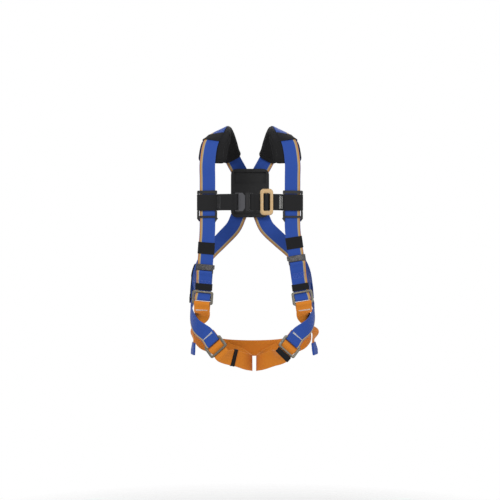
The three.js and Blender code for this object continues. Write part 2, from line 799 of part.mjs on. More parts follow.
// A bridge over the strap, in the strap's own direction; lift is the strap's height on the plate.
function bridgeTools(sign, along, degrees, lift) {
  const turn = -sign * THREE.MathUtils.degToRad(degrees);
  const inside = webbing.width / 2 + 1.2;
  const reach = inside + ringPlate.bridge;
  const roof = lift + webbing.thickness + 2 * clearance + 0.2;
  const l = ringPlate.bridgeLength / 2;
  const pieces = [
    blockOf(-reach, reach, roof, roof + ringPlate.bridge, along - l, along + l),
    blockOf(-reach, -inside, -1, roof + 1, along - l, along + l),
    blockOf(inside, reach, -1, roof + 1, along - l, along + l),
  ];
  return pieces.map((piece) => piece.rotateY(turn));
}

function ringPlateGeometry() {
  const height = ringPlate.top + ringPlate.foot;
  const middle = (ringPlate.top - ringPlate.foot) / 2;
  const outline = roundedBox(THREE.Shape, 2 * ringPlate.halfWidth, height, 18, 0, middle);
  const thickness = barRoom + ring.wire / 2 + 1.1 + ringPlate.floor;
  const pieces = [plateOf(outline, -thickness, 0)];
  for (const sign of [-1, 1]) {
    const lift = sign < 0 ? layer : 0;
    pieces.push(...bridgeTools(sign, crossing.upperBridge, crossing.upperAngle, lift));
    pieces.push(...bridgeTools(sign, -crossing.lowerBridge, crossing.lowerAngle, lift));
  }
  const groove = ring.wire / 2 + 1.2;
  const reach = ring.innerHalfWidth + ring.wire + 1;
  const channel = blockOf(-reach, reach, ringPlate.floor - thickness, 1, -groove, groove);
  const wall = 3;
  const pocket = (low, high) => blockOf(
    wall - ringPlate.halfWidth + 6, ringPlate.halfWidth - wall - 6,
    -thickness - 1, -wall, low, high,
  );
  const armReach = ring.wire + 8;
  const upper = pocket(armReach + wall, ringPlate.top - 3 * wall);
  const lower = pocket(-ringPlate.foot + 3 * wall, -armReach - wall);
  const armSlots = [-1, 1].map((s) => {
    const x0 = Math.min(s * (ring.innerHalfWidth - 1), s * reach);
    return blockOf(x0, x0 + ring.wire + 2, ringPlate.floor - thickness, 1, -armReach, armReach);
  });
  return cut(join(...pieces), channel, ...armSlots, upper, lower);
}

// ---------------------------------------------------------------- chest strap, buckle and frame

// Chest routes lie in one level plane, so their width direction is upright throughout.
const upright = (place) => ({ place, width: vec(0, 0, 1) });

function chestFrameAt(x, lift = 0) {
  const { place, normal } = chestStation(x, lift);
  return frameAt(place, vec(0, 0, 1), normal);
}

const acrossPoints = (frame, points) =>
  points.map(([height, across]) => upright(inFrame(frame, across, height, 0)));

const seamFrame = () => chestFrameAt(chestBuckle.seam, -layer / 2);

// The strap's end at the carriage: over it, round its outer arm, back behind and sewn to itself.
function roundCarriage(side) {
  const frame = upperFrame(side.sign, chest.drop);
  const neck = webbing.width / 2 + 0.7 + carriage.armWidth;
  const box = { near: -half, far: plateFar(carriage.plate), low: -neck, high: neck };
  const loop = aroundBar(box, [-10, 10, 45, 80, 100, 135, 170, 190]);
  const points = loop.map(([height, across]) => [height, across * side.sign]);
  return acrossPoints(frame, points);
}

// Stations of the chest webbing between two places on the chest, at a height behind the front layer.
function chestRun(from, to, lift, pieces) {
  const stations = [];
  for (let i = 0; i <= pieces; i += 1) {
    const { place } = chestStation(from + ((to - from) * i) / pieces, lift);
    stations.push(upright(place));
  }
  return stations;
}

// One half of the chest strap, from its end behind the buckle bar to its end behind the carriage.
function chestStrapRoute(side, barX, backEnd, throughFrame) {
  const { sign } = side;
  const bar = chestBuckle.bar / 2;
  const box = { near: -bar, far: bar, low: -bar, high: bar };
  const loop = aroundBar(box, [170, -170, -135, -100, -80, -45, -10, 10]);
  const atBar = loop.map(([h, a]) => [h, a * sign + barX - chestBuckle.seam]);
  const edge = (front.strapSpacing / 2 - webbing.width / 2 - 14) * sign;
  const carriageInner = (front.strapSpacing / 2 - chest.sewnRun) * sign;
  const start = barX + sign * 9;
  const middle = throughFrame ? throughTriGlide(start, edge) : chestRun(start, edge, 0, 3);
  return routeOf([
    ...chestRun(backEnd, start, -layer, 1),
    ...acrossPoints(seamFrame(), atBar),
    ...middle,
    ...roundCarriage(side),
    ...chestRun(carriageInner + sign * 6, carriageInner, -layer - 0.4, 1),
  ]);
}

function throughTriGlide(start, edge) {
  const frame = chestFrameAt(chestFrame.x);
  const over = plateNear + chestFrame.barPlate + half + hardwareClearance;
  const points = [[0, -14], [0, -8.6], [over - 0.3, -2.6], [over, 0], [over - 0.3, 2.6], [0, 8.6], [0, 14]];
  const ends = [start, edge].map((x) => upright(chestStation(x).place));
  return [ends[0], ...acrossPoints(frame, points), ends[1]];
}

function chestFrameGeometry() {
  const windowHeight = webbing.width + 2;
  const outline = roundedBox(THREE.Shape, chestFrame.width, windowHeight + 2 * chestFrame.rim, 10);
  outline.holes.push(roundedBox(THREE.Path, chestFrame.windowWidth, windowHeight, 3));
  const face = plateOf(outline, plateNear, plateFar(chestFrame.plate), 1.2);
  const bar = chestFrame.bar / 2;
  const reach = windowHeight / 2 + 1;
  return join(face, blockOf(-bar, bar, plateNear, plateNear + chestFrame.barPlate, -reach, reach));
}

// The web bar and rails that hold the strap on a buckle half. outer is +1 or -1 across.
function buckleRails(outer, barX, bodyX) {
  const bar = chestBuckle.bar / 2;
  const high = chestBuckle.height / 2;
  const railInner = webbing.width / 2 + 0.5;
  const x0 = Math.min(bodyX, barX + outer * bar);
  const x1 = Math.max(bodyX, barX + outer * bar);
  return [
    blockOf(barX - bar, barX + bar, -bar, bar, -high, high),
    blockOf(x0, x1, -2, 2, railInner, high),
    blockOf(x0, x1, -2, 2, -high, -railInner),
  ];
}

// The socket half: a flat box, open towards the plug, with a release window in each edge.
function socketGeometry() {
  const high = chestBuckle.height / 2;
  const thick = chestBuckle.thickness / 2;
  const open = -chestBuckle.socketLength / 2;
  const back = open + chestBuckle.bodyLength;
  const outline = roundedBox(THREE.Shape, chestBuckle.bodyLength, 2 * high, 2.5, (open + back) / 2, 0);
  const shell = plateOf(outline, -thick, thick, 1.5);
  const barX = -open - chestBuckle.bar / 2;
  const cavity = blockOf(open - 1, back - 2, -3, 3, -high + 5, high - 5);
  const windows = blockOf(open + 3, back - 3, -3, 3, -high - 1, high + 1);
  return cut(join(shell, ...buckleRails(1, barX, back - 1)), cavity, windows);
}

// The plug half: a web bar, a body pointed towards the socket, two prongs and a guide.
function plugGeometry() {
  const high = chestBuckle.height / 2;
  const right = chestBuckle.plugLength / 2;
  const outline = new THREE.Shape();
  const left = -right + 9;
  const tip = right - clearance;
  const nose = [[tip, -high + 9], [tip, high - 9]];
  const points = [[left, -high], [right - 8, -high], ...nose, [right - 8, high], [left, high]];
  points.forEach(([x, z], i) => (i ? outline.lineTo(x, z) : outline.moveTo(x, z)));
  const body = plateOf(outline, -4, 4, 1);
  const prongEnd = right + chestBuckle.bodyLength - 3;
  const prongs = [-1, 1].map((s) => blockOf(right - 2, prongEnd, -2.4, 2.4, s * 15 - 3, s * 15 + 3));
  const guide = blockOf(right - 2, prongEnd - 2, -1.6, 1.6, -4, 4);
  const barX = -right + chestBuckle.bar / 2;
  return join(body, ...buckleRails(-1, barX, left + 1), ...prongs, guide);
}

// ---------------------------------------------------------------- pouch, clip and tips

function pouchStretch() {
  const route = shoulderRoutes.left;
  return route.filter(({ place }) => place.x < 0 && place.z < hip + pouch.top && place.z > hip + pouch.foot);
}

function pouchGeometry() {
  const near = half + clearance;
  const reach = webbing.width / 2;
  const body = stripOf(pouchStretch(), () => [-reach, reach, half, near + pouch.thickness]);
  return cut(body, stripOf(shoulderRoutes.left, () => [-reach - 1, reach + 1, -webbing.width, near]));
}

// A small pointed clip that hangs below the pouch, with an eye for a lanyard hook.
function clipGeometry() {
  const w = clip.width / 2;
  const outline = new THREE.Shape();
  outline.moveTo(-w, 0);
  outline.lineTo(w, 0);
  outline.lineTo(w, -clip.length / 2);
  outline.lineTo(0, -clip.length);
  outline.lineTo(-w, -clip.length / 2);
  outline.holes.push(roundedBox(THREE.Path, w, w * 0.8, 1.5, 0, -clip.length / 2 + 2));
  return plateOf(outline, 0, clip.thickness);
}

// The clip lies on the outside of the strap, just below the pouch.
function clipFrame() {
  const stretch = pouchStretch();
  const end = stretch[stretch.length - 1];
  const frame = frameAt(end.place, end.tangent.clone().negate(), end.outward);
  return shifted(frame, clip.across, half + clearance + 0.2, -1);
}

// Limits of a loop round a strip: both edges and both faces, the same way out on each side.
const around = (wide, thick) => [-wide, wide, -thick, thick];

// A folded sleeve over the end of a strap tail.
function tipGeometry(route) {
  const stretch = route.filter(({ place }) => place.z < hip - tail.foot + tail.tipLength);
  const inside = around(tail.width / 2 + clearance, half + clearance);
  const outside = around(tail.width / 2 + clearance + tail.tipWall, half + clearance + tail.tipWall);
  const sleeve = stripOf(stretch, () => outside);
  const end = stretch[stretch.length - 1];
  const cap = frameAt(end.place, end.tangent.clone().negate(), end.outward);
  const closed = blockOf(...outside, -clearance - tail.tipWall, 1).applyMatrix4(cap);
  const space = blockOf(...inside, -clearance, 2).applyMatrix4(cap);
  return cut(join(sleeve, closed), stripOf(route, () => inside), space);
}

// The thigh strap curves under its keeper, so the keeper follows one stretch of the strap.
function thighKeeperGeometry(side) {
  const route = thighStrapRoute(side);
  let index = route.length - 1;
  let run = 0;
  while (run < side.thighKeeperRun) {
    run += route[index].place.distanceTo(route[index - 1].place);
    index -= 1;
  }
  const inside = around(webbing.width / 2 + keeper.slack, half + keeper.slack);
  const slackWall = keeper.slack + keeper.wall;
  const outside = around(webbing.width / 2 + slackWall, half + slackWall);
  return cut(stripOf(route.slice(index, index + 2), () => outside), stripOf(route, () => inside));
}

// ---------------------------------------------------------------- scene

const harness = new THREE.Group();
harness.name = 'safety_harness';

function addPiece(name, geometry, look, frame = null) {
  const mesh = new THREE.Mesh(geometry, look);
  mesh.name = name;
  if (frame) {
    mesh.applyMatrix4(frame);
  }
  harness.add(mesh);
}

function addStraps(side) {
  const { name } = side;
  const tailSections = tailRoute(side);
  addPiece(`shoulder_strap_${name}`, webbingOf(shoulderRoutes[name]), fabric('blue'));
  addPiece(`shoulder_pad_${name}`, padGeometry(side), fabric('padding'));
  addPiece(`pad_band_${name}`, bandGeometry(side), fabric('black'));
  addPiece(`hip_strap_${name}`, webbingOf(hipStrapRoute(side)), fabric('blue'));
  addPiece(`leg_strap_${name}`, webbingOf(legStrapRoute(side)), fabric('blue'));
  addPiece(`thigh_strap_${name}`, webbingOf(thighStrapRoute(side)), fabric('orange'));
  addPiece(`thigh_keeper_${name}`, thighKeeperGeometry(side), fabric('black'));
  addPiece(`strap_tail_${name}`, webbingOf(tailSections, tail.width), fabric('orange'));
  addPiece(`tail_tip_${name}`, tipGeometry(tailSections), fabric('blue'));
}

function addHardware(side) {
  const { sign, name } = side;
  const atAdjuster = lowerFrame(sign, side.adjusterRise);
  const atLink = lowerFrame(sign, 0);
  const lowKeeper = shifted(atLink, 0, 0, hipFrame.height / 2 + keeper.lower / 2 + 2);
  const lowKeeperGeometry = keeperGeometry(keeper.lower, half + layer);
  addPiece(`carriage_${name}`, carriageGeometry(), plastic('plastic'), upperFrame(sign, chest.drop));
  const highKeeper = lowerFrame(sign, side.keeperRise);
  addPiece(`upper_keeper_${name}`, keeperGeometry(keeper.upper), fabric('black'), highKeeper);
  addPiece(`adjuster_frame_${name}`, adjusterGeometry(), metal('steel'), atAdjuster);
  addPiece(`adjuster_bar_${name}`, adjusterBarGeometry(), metal('steel'), atAdjuster);
  addPiece(`lower_keeper_${name}`, lowKeeperGeometry, fabric('black'), lowKeeper);
  addPiece(`hip_frame_${name}`, threeBarGeometry(hipFrame, hipFrame.middleBar), metal('steel'), atLink);
  addPiece(`leg_buckle_${name}`, threeBarGeometry(legBuckle, 0), metal('steel'), buckleFrame(sign));
  addPiece(`leg_buckle_bar_${name}`, clampBarGeometry(), metal('steel'), buckleFrame(sign));
}

function addChest() {
  const seam = seamFrame();
  const plugBarX = chestBuckle.seam - chestBuckle.plugLength + chestBuckle.bar / 2;
  const socketBarX = chestBuckle.seam + chestBuckle.socketLength - chestBuckle.bar / 2;
  const rightRoute = chestStrapRoute(sides.right, plugBarX, plugBarX - 22, false);
  const leftRoute = chestStrapRoute(sides.left, socketBarX, socketBarX + 16, true);
  const plugPlace = shifted(seam, -chestBuckle.plugLength / 2, 0, 0);
  const socketPlace = shifted(seam, chestBuckle.socketLength / 2, 0, 0);
  addPiece('chest_strap_right', webbingOf(rightRoute), fabric('black'));
  addPiece('chest_strap_left', webbingOf(leftRoute), fabric('black'));
  addPiece('chest_buckle_plug', plugGeometry(), plastic('greyPlastic'), plugPlace);
  addPiece('chest_buckle_socket', socketGeometry(), plastic('plastic'), socketPlace);
  addPiece('chest_frame', chestFrameGeometry(), metal('gold'), chestFrameAt(chestFrame.x));
}

function addBack() {
  const backwards = (place) => frameAt(place, vec(0, 0, 1), vec(0, 1, 0));
  addPiece('lanyard_clip', clipGeometry(), plastic('plastic'), clipFrame());
  addPiece('label_pouch', pouchGeometry(), fabric('black'));
  addPiece('seat_strap', webbingOf(seatRoute()), fabric('orange'));
  addPiece('d_ring', ringGeometry(), metal('steel'), backwards(ringCentre));
  addPiece('ring_plate', ringPlateGeometry(), plastic('plastic'), backwards(vec(0, plateFace, -ring.drop)));
}

Object.values(sides).forEach((side) => {
  addStraps(side);
  addHardware(side);
});
addChest();
addBack();

export default harness;
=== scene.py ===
"""Looks of a full-body safety harness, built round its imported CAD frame.

Lengths inside the shape functions are millimetres; meshes and settings are in metres. The wearer
faces -Y, +Z is up, and the origin is midway between the shoulders.
"""

import json
import math

import bpy
import numpy as np

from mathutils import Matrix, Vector

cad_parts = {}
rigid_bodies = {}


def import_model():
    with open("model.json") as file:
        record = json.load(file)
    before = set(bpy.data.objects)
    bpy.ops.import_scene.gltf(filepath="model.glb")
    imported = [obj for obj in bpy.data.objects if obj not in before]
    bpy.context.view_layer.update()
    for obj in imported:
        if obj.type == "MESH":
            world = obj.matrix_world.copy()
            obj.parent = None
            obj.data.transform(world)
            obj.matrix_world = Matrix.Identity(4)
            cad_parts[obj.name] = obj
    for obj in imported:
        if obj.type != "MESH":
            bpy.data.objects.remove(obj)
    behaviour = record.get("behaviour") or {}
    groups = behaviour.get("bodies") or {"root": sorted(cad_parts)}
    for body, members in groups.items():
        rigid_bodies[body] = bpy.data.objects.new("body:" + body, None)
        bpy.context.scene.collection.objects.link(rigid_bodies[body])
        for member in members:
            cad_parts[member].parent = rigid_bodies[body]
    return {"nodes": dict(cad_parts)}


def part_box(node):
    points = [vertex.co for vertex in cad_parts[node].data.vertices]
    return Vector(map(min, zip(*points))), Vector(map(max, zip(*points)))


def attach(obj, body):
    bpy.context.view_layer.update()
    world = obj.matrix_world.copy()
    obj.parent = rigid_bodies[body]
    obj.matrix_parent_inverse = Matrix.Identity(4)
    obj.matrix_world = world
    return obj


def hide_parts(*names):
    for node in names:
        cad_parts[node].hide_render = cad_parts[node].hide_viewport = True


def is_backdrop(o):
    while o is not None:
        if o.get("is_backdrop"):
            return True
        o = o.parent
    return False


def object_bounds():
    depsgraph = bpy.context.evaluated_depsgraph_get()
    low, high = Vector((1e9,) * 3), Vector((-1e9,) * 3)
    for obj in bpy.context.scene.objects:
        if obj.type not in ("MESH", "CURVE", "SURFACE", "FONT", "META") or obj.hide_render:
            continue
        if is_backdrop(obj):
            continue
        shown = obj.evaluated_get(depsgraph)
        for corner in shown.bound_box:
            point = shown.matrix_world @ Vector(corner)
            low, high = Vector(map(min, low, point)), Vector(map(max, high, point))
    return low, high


bl_info = {
    "name": "Safety harness",
    "version": (1, 0, 0),
    "blender": (4, 5, 0),
    "location": "View3D > Sidebar > Harness",
    "description": "Builds the webbing, pads, buckles and studio of a full-body safety harness",
    "category": "Add Mesh",
}

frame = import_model()
CAD_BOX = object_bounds()

# ---------------------------------------------------------------- sizes, mm

# Webbing, the gaps kept to soft and to hard neighbours, and the places of a second layer.
WIDTH, THICK = 45.0, 2.3
CLEAR, HARD_CLEAR = 0.3, 0.85
HALF = THICK / 2
LAYER = THICK + 2 * CLEAR
NEAR = HALF + CLEAR
MM = 0.001
STRAP_EDGE = WIDTH / 2 * MM

# The trunk: how long it is to the hips, its widths and depth, half the neck, how far the hips
# stand to the left, and the power of its section's curve.
LENGTH, CHEST_W, HIP_W, DEPTH, NECK, SHIFT, SQUARE = 433.0, 300.0, 320.0, 226.0, 58.0, 7.0, 2.4
HIP = -LENGTH

# The front straps: how far apart and how deep at the chest and at the hips, where they bend at
# the top and at the knee between, and how far they turn to the side, in degrees.
SPACING, STRAP_Y, TOP_DROP = 0.78 * CHEST_W, 0.345 * DEPTH, 60.0
KNEE_DROP, HIP_SPACING, HIP_Y, YAW = 0.573 * LENGTH, 0.855 * HIP_W, 0.301 * DEPTH, 16.0

# For each side: shares of the front run up to the adjuster and the keeper, and the tail's bows as
# (share of its drop, how far out, how far it turns to the front).
SIDES = {
    "right": {"sign": -1, "adjuster": 0.432, "keeper": 0.735,
              "tail": [(0.19, 4, 0.25), (0.5, -1, 0.1), (0.76, 1, 0.22), (1, 2, 0.22)]},
    "left": {"sign": 1, "adjuster": 0.567, "keeper": 0.816,
             "tail": [(0.19, 11, 0.6), (0.5, 5, 0.15), (0.76, 9, 0.35), (1, 11, 0.3)]},
}

# The chest strap: its drop, how far its middle stands forward and how long its sewn ends are; the
# seam between the buckle's halves, their lengths and the bars that the strap runs round.
CHEST_DROP, BULGE, SEWN_RUN = 171.5, 0.522 * DEPTH, 40.0
SEAM, PLUG_LENGTH, SOCKET_LENGTH, BUCKLE_BAR = -12.0, 28.0, 20.0, 3.4
PLUG_BAR_X = SEAM - PLUG_LENGTH + BUCKLE_BAR / 2
SOCKET_BAR_X = SEAM + SOCKET_LENGTH - BUCKLE_BAR / 2
CHEST_FRAME = {"width": 36.0, "rim": 12.5, "plate": 6.0, "window": 18.0, "bar": 4.0, "bar_plate": 2.0,
               "x": 43.0}
ARM, CARRIAGE_PLATE = 2.8, 3.0

# Metal frames: rim at the sides, height, thickness of plate, and bars above, below or between.
ADJUSTER = {"height": 24.0, "plate": 3.0, "foot": 3.0}
HIP_FRAME = {"side": 7.7, "height": 37.0, "plate": 4.0, "outer": 5.5, "middle": 5.0, "drop": 3.0}
LEG_BUCKLE = {"side": 7.7, "height": 38.0, "plate": 4.0, "outer": 6.0}
CLAMP_FAR = 2.3

# The leg straps round the thigh, the seat strap, the tails, the pouch, and the back ring and plate.
LEG = {"angle": -56.0, "drop": 133.0, "slope": 50.0, "shift": 12.0, "gap": 8.0, "crotch": 184.0}
SEAT_DROP, SEAT_LIFT = 152.0, 3.0
TAIL = {"top": 83.0, "foot": 159.0, "tip": 33.0, "wall": 1.4, "width": 40.0}
POUCH = {"top": 81.0, "foot": -7.0, "thick": 4.0}
RING = {"drop": 130.0, "inner": 37.0, "wire": 8.0, "reach": 60.0, "tip": 12.0, "tilt": 35.0}
PLATE_Y = DEPTH / 2 + 5.0
CROSS_UP, CROSS_DOWN = 29.0, 24.0

# The pads, with how deep their stitched channel is and how far they keep under the CAD's face,
# their bands, the elastic keepers, the lift over the stacked straps at the hip, and how far from
# the middle the bars across the chest strap are sewn.
PAD = {"outer": 5.0, "neck": 28.0, "least": 4.0}
CHANNEL, SUNK = 1.1, 0.25
PAD_BAND = {"length": 31.0, "level": 9.5, "wall": 2.0}
KEEPER = {"wall": 1.2, "slack": 0.35, "upper": 32.0, "lower": 18.0, "thigh": 14.0}
HIP_STACK = SEAT_LIFT + 2 * LAYER + 3
CHEST_BARS = (79.0, 86.5)

# ---------------------------------------------------------------- vectors, frames and routes


def vec(x, y, z):
    """Three numbers as an array."""
    return np.array([x, y, z], float)


def unit(v):
    """v divided by its length, along the last axis."""
    return v / np.linalg.norm(v, axis=-1, keepdims=True)


def frame_at(origin, up, outward):
    """A local frame: X across, Z along up, Y pointing into the wearer, away from outward."""
    z = unit(up)
    x = unit(np.cross(-outward, z))
    return {"o": origin, "x": x, "y": np.cross(z, x), "z": z}


def in_frame(f, across, height, along):
    """The place at those distances in a local frame; the height runs outwards. Takes arrays too."""
    a, h, l = (np.asarray(v, float)[..., None] for v in (across, height, along))
    return f["o"] + a * f["x"] - h * f["y"] + l * f["z"]


def shifted(f, across, height, along):
    """The same local frame with its origin moved by those distances."""
    return {**f, "o": in_frame(f, across, height, along)}


def on(place, normal):
    """A station on a surface, given by its place and the surface's outward normal."""
    return {"p": np.asarray(place, float), "n": unit(np.asarray(normal, float))}


def threaded(f, points, sign):
    """Stations [height, along] in a local frame, all with the frame's own width direction."""
    return [{"p": in_frame(f, 0, h, a), "w": sign * f["x"]} for h, a in points]


def centripetal(points, spans, shares):
    """Centripetal Catmull-Rom: in each span a cubic whose end slopes come from the neighbours,
    with knots spaced by the square root of the chord; the ends are mirrored outwards."""
    p = np.vstack([2 * points[0] - points[1], points, 2 * points[-1] - points[-2]])
    p0, p1, p2, p3 = (p[spans + k] for k in range(4))
    gap = [np.linalg.norm(b - a, axis=1) ** 0.5 for a, b in ((p0, p1), (p1, p2), (p2, p3))]
    mid = np.where(gap[1] < 1e-4, 1.0, gap[1])
    d0, d1, d2 = (np.where(g < 1e-4, mid, g)[:, None] for g in (gap[0], mid, gap[2]))
    s1 = ((p1 - p0) / d0 - (p2 - p0) / (d0 + d1) + (p2 - p1) / d1) * d1
    s2 = ((p2 - p1) / d1 - (p3 - p1) / (d1 + d2) + (p3 - p2) / d2) * d1
    t = shares[:, None]
    return p1 + s1 * t + (3 * (p2 - p1) - 2 * s1 - s2) * t**2 + (2 * (p1 - p2) + s1 + s2) * t**3


def route_of(stations, step=3.0):
    """Samples a route: place, width direction, outward direction, tangent and run along it."""
    places = np.array([s["p"] for s in stations])
    count = len(stations) - 1
    ends = np.arange(count + 1)
    late = np.minimum(ends, count - 1)
    share = (ends - late).astype(float)
    eps = 1e-3
    slope = centripetal(places, late, np.where(share > 0, share, eps)) - centripetal(
        places, late, np.where(share > 0, share - eps, 0.0)
    )
    slope = unit(slope)
    widths = np.array([s["w"] if "w" in s else unit(np.cross(s["n"], t)) for s, t in zip(stations, slope)])
    pieces = np.maximum(2, np.ceil(np.linalg.norm(np.diff(places, axis=0), axis=1) / step)).astype(int)
    spans = np.concatenate([np.repeat(np.arange(count), pieces), [count - 1]])
    shares = np.concatenate([np.arange(n) / n for n in pieces] + [[1.0]])
    place = centripetal(places, spans, shares)
    width = centripetal(widths, spans, shares)
    tangent = unit(np.gradient(place, axis=0))
    width = unit(width - tangent * np.sum(width * tangent, axis=1, keepdims=True))
    run = np.concatenate([[0], np.cumsum(np.linalg.norm(np.diff(place, axis=0), axis=1))])
    return {"p": place, "w": width, "n": np.cross(tangent, width), "t": tangent, "v": run}


def part_of(route, first, last):
    """The stretch of a route between two section numbers, last included."""
    cutout = {k: a[first : last + 1] for k, a in route.items()}
    cutout["v"] = cutout["v"] - cutout["v"][0]
    return cutout


def nearest(route, place):
    """The number of the route's section that is nearest to a place."""
    return int(np.argmin(np.linalg.norm(route["p"] - place, axis=1)))


def section_at(route, run):
    """Place, width and outward direction at distances along a route, between its sections."""
    mix = lambda key: np.stack([np.interp(run, route["v"], route[key][:, k]) for k in range(3)], -1)
    return mix("p"), unit(mix("w")), unit(mix("n"))


def around_bar(bar, degrees):
    """Places [height, along] of webbing laid close round a bar, at angles from its front."""
    near, far, low, high = bar
    soft = 1.0
    reach = soft + HALF + HARD_CLEAR
    a = np.radians(np.asarray(degrees, float))
    height = (near + far) / 2 + np.sign(np.cos(a)) * ((far - near) / 2 - soft)
    along = (low + high) / 2 + np.sign(np.sin(a)) * ((high - low) / 2 - soft)
    return np.stack([height + reach * np.cos(a), along + reach * np.sin(a)], -1).tolist()


def bar_of(plate, low, height):
    """A frame's bar, as its near and far face and its lower and upper edge: it starts just off the strap."""
    return (NEAR, NEAR + plate, low, low + height)


# ---------------------------------------------------------------- the wearer's trunk


def trunk_section(z):
    """Half the width, half the depth and the shift at a level, on straight lines between the rows."""
    rows = np.array([
        [-60, CHEST_W / 2 - 8, DEPTH / 2 - 12, 0],
        [-170, CHEST_W / 2, DEPTH / 2, 0],
        [HIP + 185, CHEST_W / 2 - 10, DEPTH / 2 - 14, 0],
        [HIP + 133, CHEST_W / 2 - 6, DEPTH / 2 - 12, SHIFT / 2],
        [HIP, HIP_W / 2 - 2, DEPTH / 2 - 3, SHIFT],
        [HIP - 90, HIP_W / 2, DEPTH / 2 + 2, SHIFT],
        [HIP - 200, HIP_W / 2 - 4, DEPTH / 2, SHIFT],
    ])
    i = 0
    while i < len(rows) - 2 and z < rows[i + 1][0]:
        i += 1
    share = (z - rows[i][0]) / (rows[i + 1][0] - rows[i][0])
    return (rows[i] + share * (rows[i + 1] - rows[i]))[1:]


def signed_power(value, power):
    """The power of a number's size, with the number's own sign."""
    return math.copysign(abs(value) ** power, value)


def around_trunk(sign, degrees, z, lift):
    """A station on the trunk, a superellipse in each level plane; 0 degrees is that side."""
    half_w, half_d, shift = trunk_section(z)
    a = math.radians(degrees)
    x, y = (signed_power(value, 2 / SQUARE) for value in (math.cos(a), math.sin(a)))
    steep = SQUARE - 1
    n = unit(vec(sign * signed_power(x, steep) / half_w, signed_power(y, steep) / half_d, 0))
    return on(vec(shift + sign * x * half_w, y * half_d, z) + n * lift, n)


def front_outward(sign):
    """Where the front straps face: (sign * sin, -cos, 0) of the angle that they turn by."""
    return vec(sign * math.sin(math.radians(YAW)), -math.cos(math.radians(YAW)), 0)


def knee_at(sign):
    """Where a front strap bends: half the spacing out, at its own depth and drop."""
    return vec(sign * SPACING / 2, -STRAP_Y, -KNEE_DROP)


def hip_place(sign):
    """The middle of a hip frame: half the hips' spacing out, plus their shift."""
    return vec(sign * HIP_SPACING / 2 + SHIFT, -HIP_Y, HIP)


def upper_frame(sign, drop):
    """A level local frame on the upright part of a front strap, at a drop under the origin."""
    knee = knee_at(sign)
    return frame_at(vec(knee[0], knee[1], -drop), vec(0, 0, 1), front_outward(sign))


def lower_frame(sign, rise):
    """A local frame on the front run under the knee, at low + rise * (knee - low), its Z up the run."""
    knee, low = knee_at(sign), hip_place(sign)
    return frame_at(low + rise * (knee - low), knee - low, front_outward(sign))


def run_of(sign, rise):
    """The length of a share of the front run under the knee."""
    return rise * float(np.linalg.norm(knee_at(sign) - hip_place(sign)))


# ---------------------------------------------------------------- routes of the straps


def over_shoulder(sign):
    """Stations over the shoulder: rows of how far in, the depth's share, height and outward normal."""
    x = SPACING / 2
    rows = [
        (8, -0.296, -8, 0.3, -0.9, 0.25), (19, -0.221, 12, 0.38, -0.72, 0.55),
        (29, -0.106, 29, 0.42, -0.35, 0.84), (35, 0.027, 36, 0.42, 0.05, 0.9),
        (42, 0.186, 27, 0.34, 0.42, 0.84), (51, 0.336, 3, 0.22, 0.75, 0.6),
        (58, (PLATE_Y - 12) / DEPTH, -20, 0.1, 0.93, 0.35),
    ]
    return [on(vec(sign * (x - dx), y * DEPTH, z), vec(sign * nx, ny, nz)) for dx, y, z, nx, ny, nz in rows]


def across_plate(sign):
    """Stations down the plate: x is the drop from the crossing times the tangent of the strap's angle,
    and the right strap lies one layer over the left one."""
    depth = PLATE_Y + HALF + CLEAR + (LAYER if sign < 0 else 0)
    up, down = math.tan(math.radians(CROSS_UP)), math.tan(math.radians(CROSS_DOWN))
    drops = (-84, -62, -40, -12, 12, 40, 74, 104)
    places = [vec(-sign * d * (up if d < 0 else down), depth, -RING["drop"] - d) for d in drops]
    return [on(place, vec(0, 1, 0)) for place in places]


def down_back(sign):
    """Stations to the opposite hip, from rows of degrees round the trunk, height and lift."""
    rows = [(60, 161, SEAT_LIFT + 3), (43, 130, SEAT_LIFT), (28, 99, SEAT_LIFT + LAYER),
            (17, 65, HIP_STACK), (7, 25, HIP_STACK), (2, -9, HIP_STACK)]
    return [around_trunk(-sign, a, HIP + rise, lift) for a, rise, lift in rows]


def shoulder_route(side):
    """From the hip frame up the front, over the shoulder, across the plate and to the opposite hip."""
    sign, rise = side["sign"], side["adjuster"]
    low_end = HIP_FRAME["height"] / 2 + 3 - run_of(sign, rise)
    low = -ADJUSTER["height"] / 2
    points = [[-LAYER, low_end], [-LAYER, low_end * 0.6], [-LAYER - 0.2, low - 10], [-LAYER - 0.3, low + 2.5],
              [0, 0], [0, 14], [0, 30]]
    bend = 12
    return route_of([
        *threaded(lower_frame(sign, rise), points, -1),
        *threaded(shifted(lower_frame(sign, 1), 0, 0, -bend), [[0, 0]], -1),
        *threaded(upper_frame(sign, KNEE_DROP - bend), [[0, 0]], -1),
        *threaded(upper_frame(sign, TOP_DROP), [[0, -50], [0, 0]], -1),
        *over_shoulder(sign),
        *across_plate(sign),
        *down_back(sign),
    ])


def hip_route(side):
    """From the torso adjuster's foot bar down to the hip frame's middle bar, laid round both."""
    link, buckle = lower_frame(side["sign"], 0), lower_frame(side["sign"], side["adjuster"])
    low = -ADJUSTER["height"] / 2
    over = around_bar(bar_of(ADJUSTER["plate"], low, ADJUSTER["foot"]), [180, 135, 100, 80, 45, 0])
    bar = bar_of(HIP_FRAME["plate"], -HIP_FRAME["drop"] - HIP_FRAME["middle"] / 2, HIP_FRAME["middle"])
    under = around_bar(bar, [40, 0, -45, -80, -100, -135, -180])
    top = HIP_FRAME["height"] / 2 - HIP_FRAME["outer"]
    at_buckle = [[0, low - 18], [0, low - 8], *over,
                 [LAYER + 0.9, low - 9], [LAYER, low - 17], [0.2, low - 30]]
    at_link = [[0, top + 14], [0, top + 5], [0, top - 1], *under, [-LAYER, 6], [-LAYER, top + 2]]
    return route_of([*threaded(buckle, at_buckle, 1), *threaded(link, at_link, 1)], 1.5)


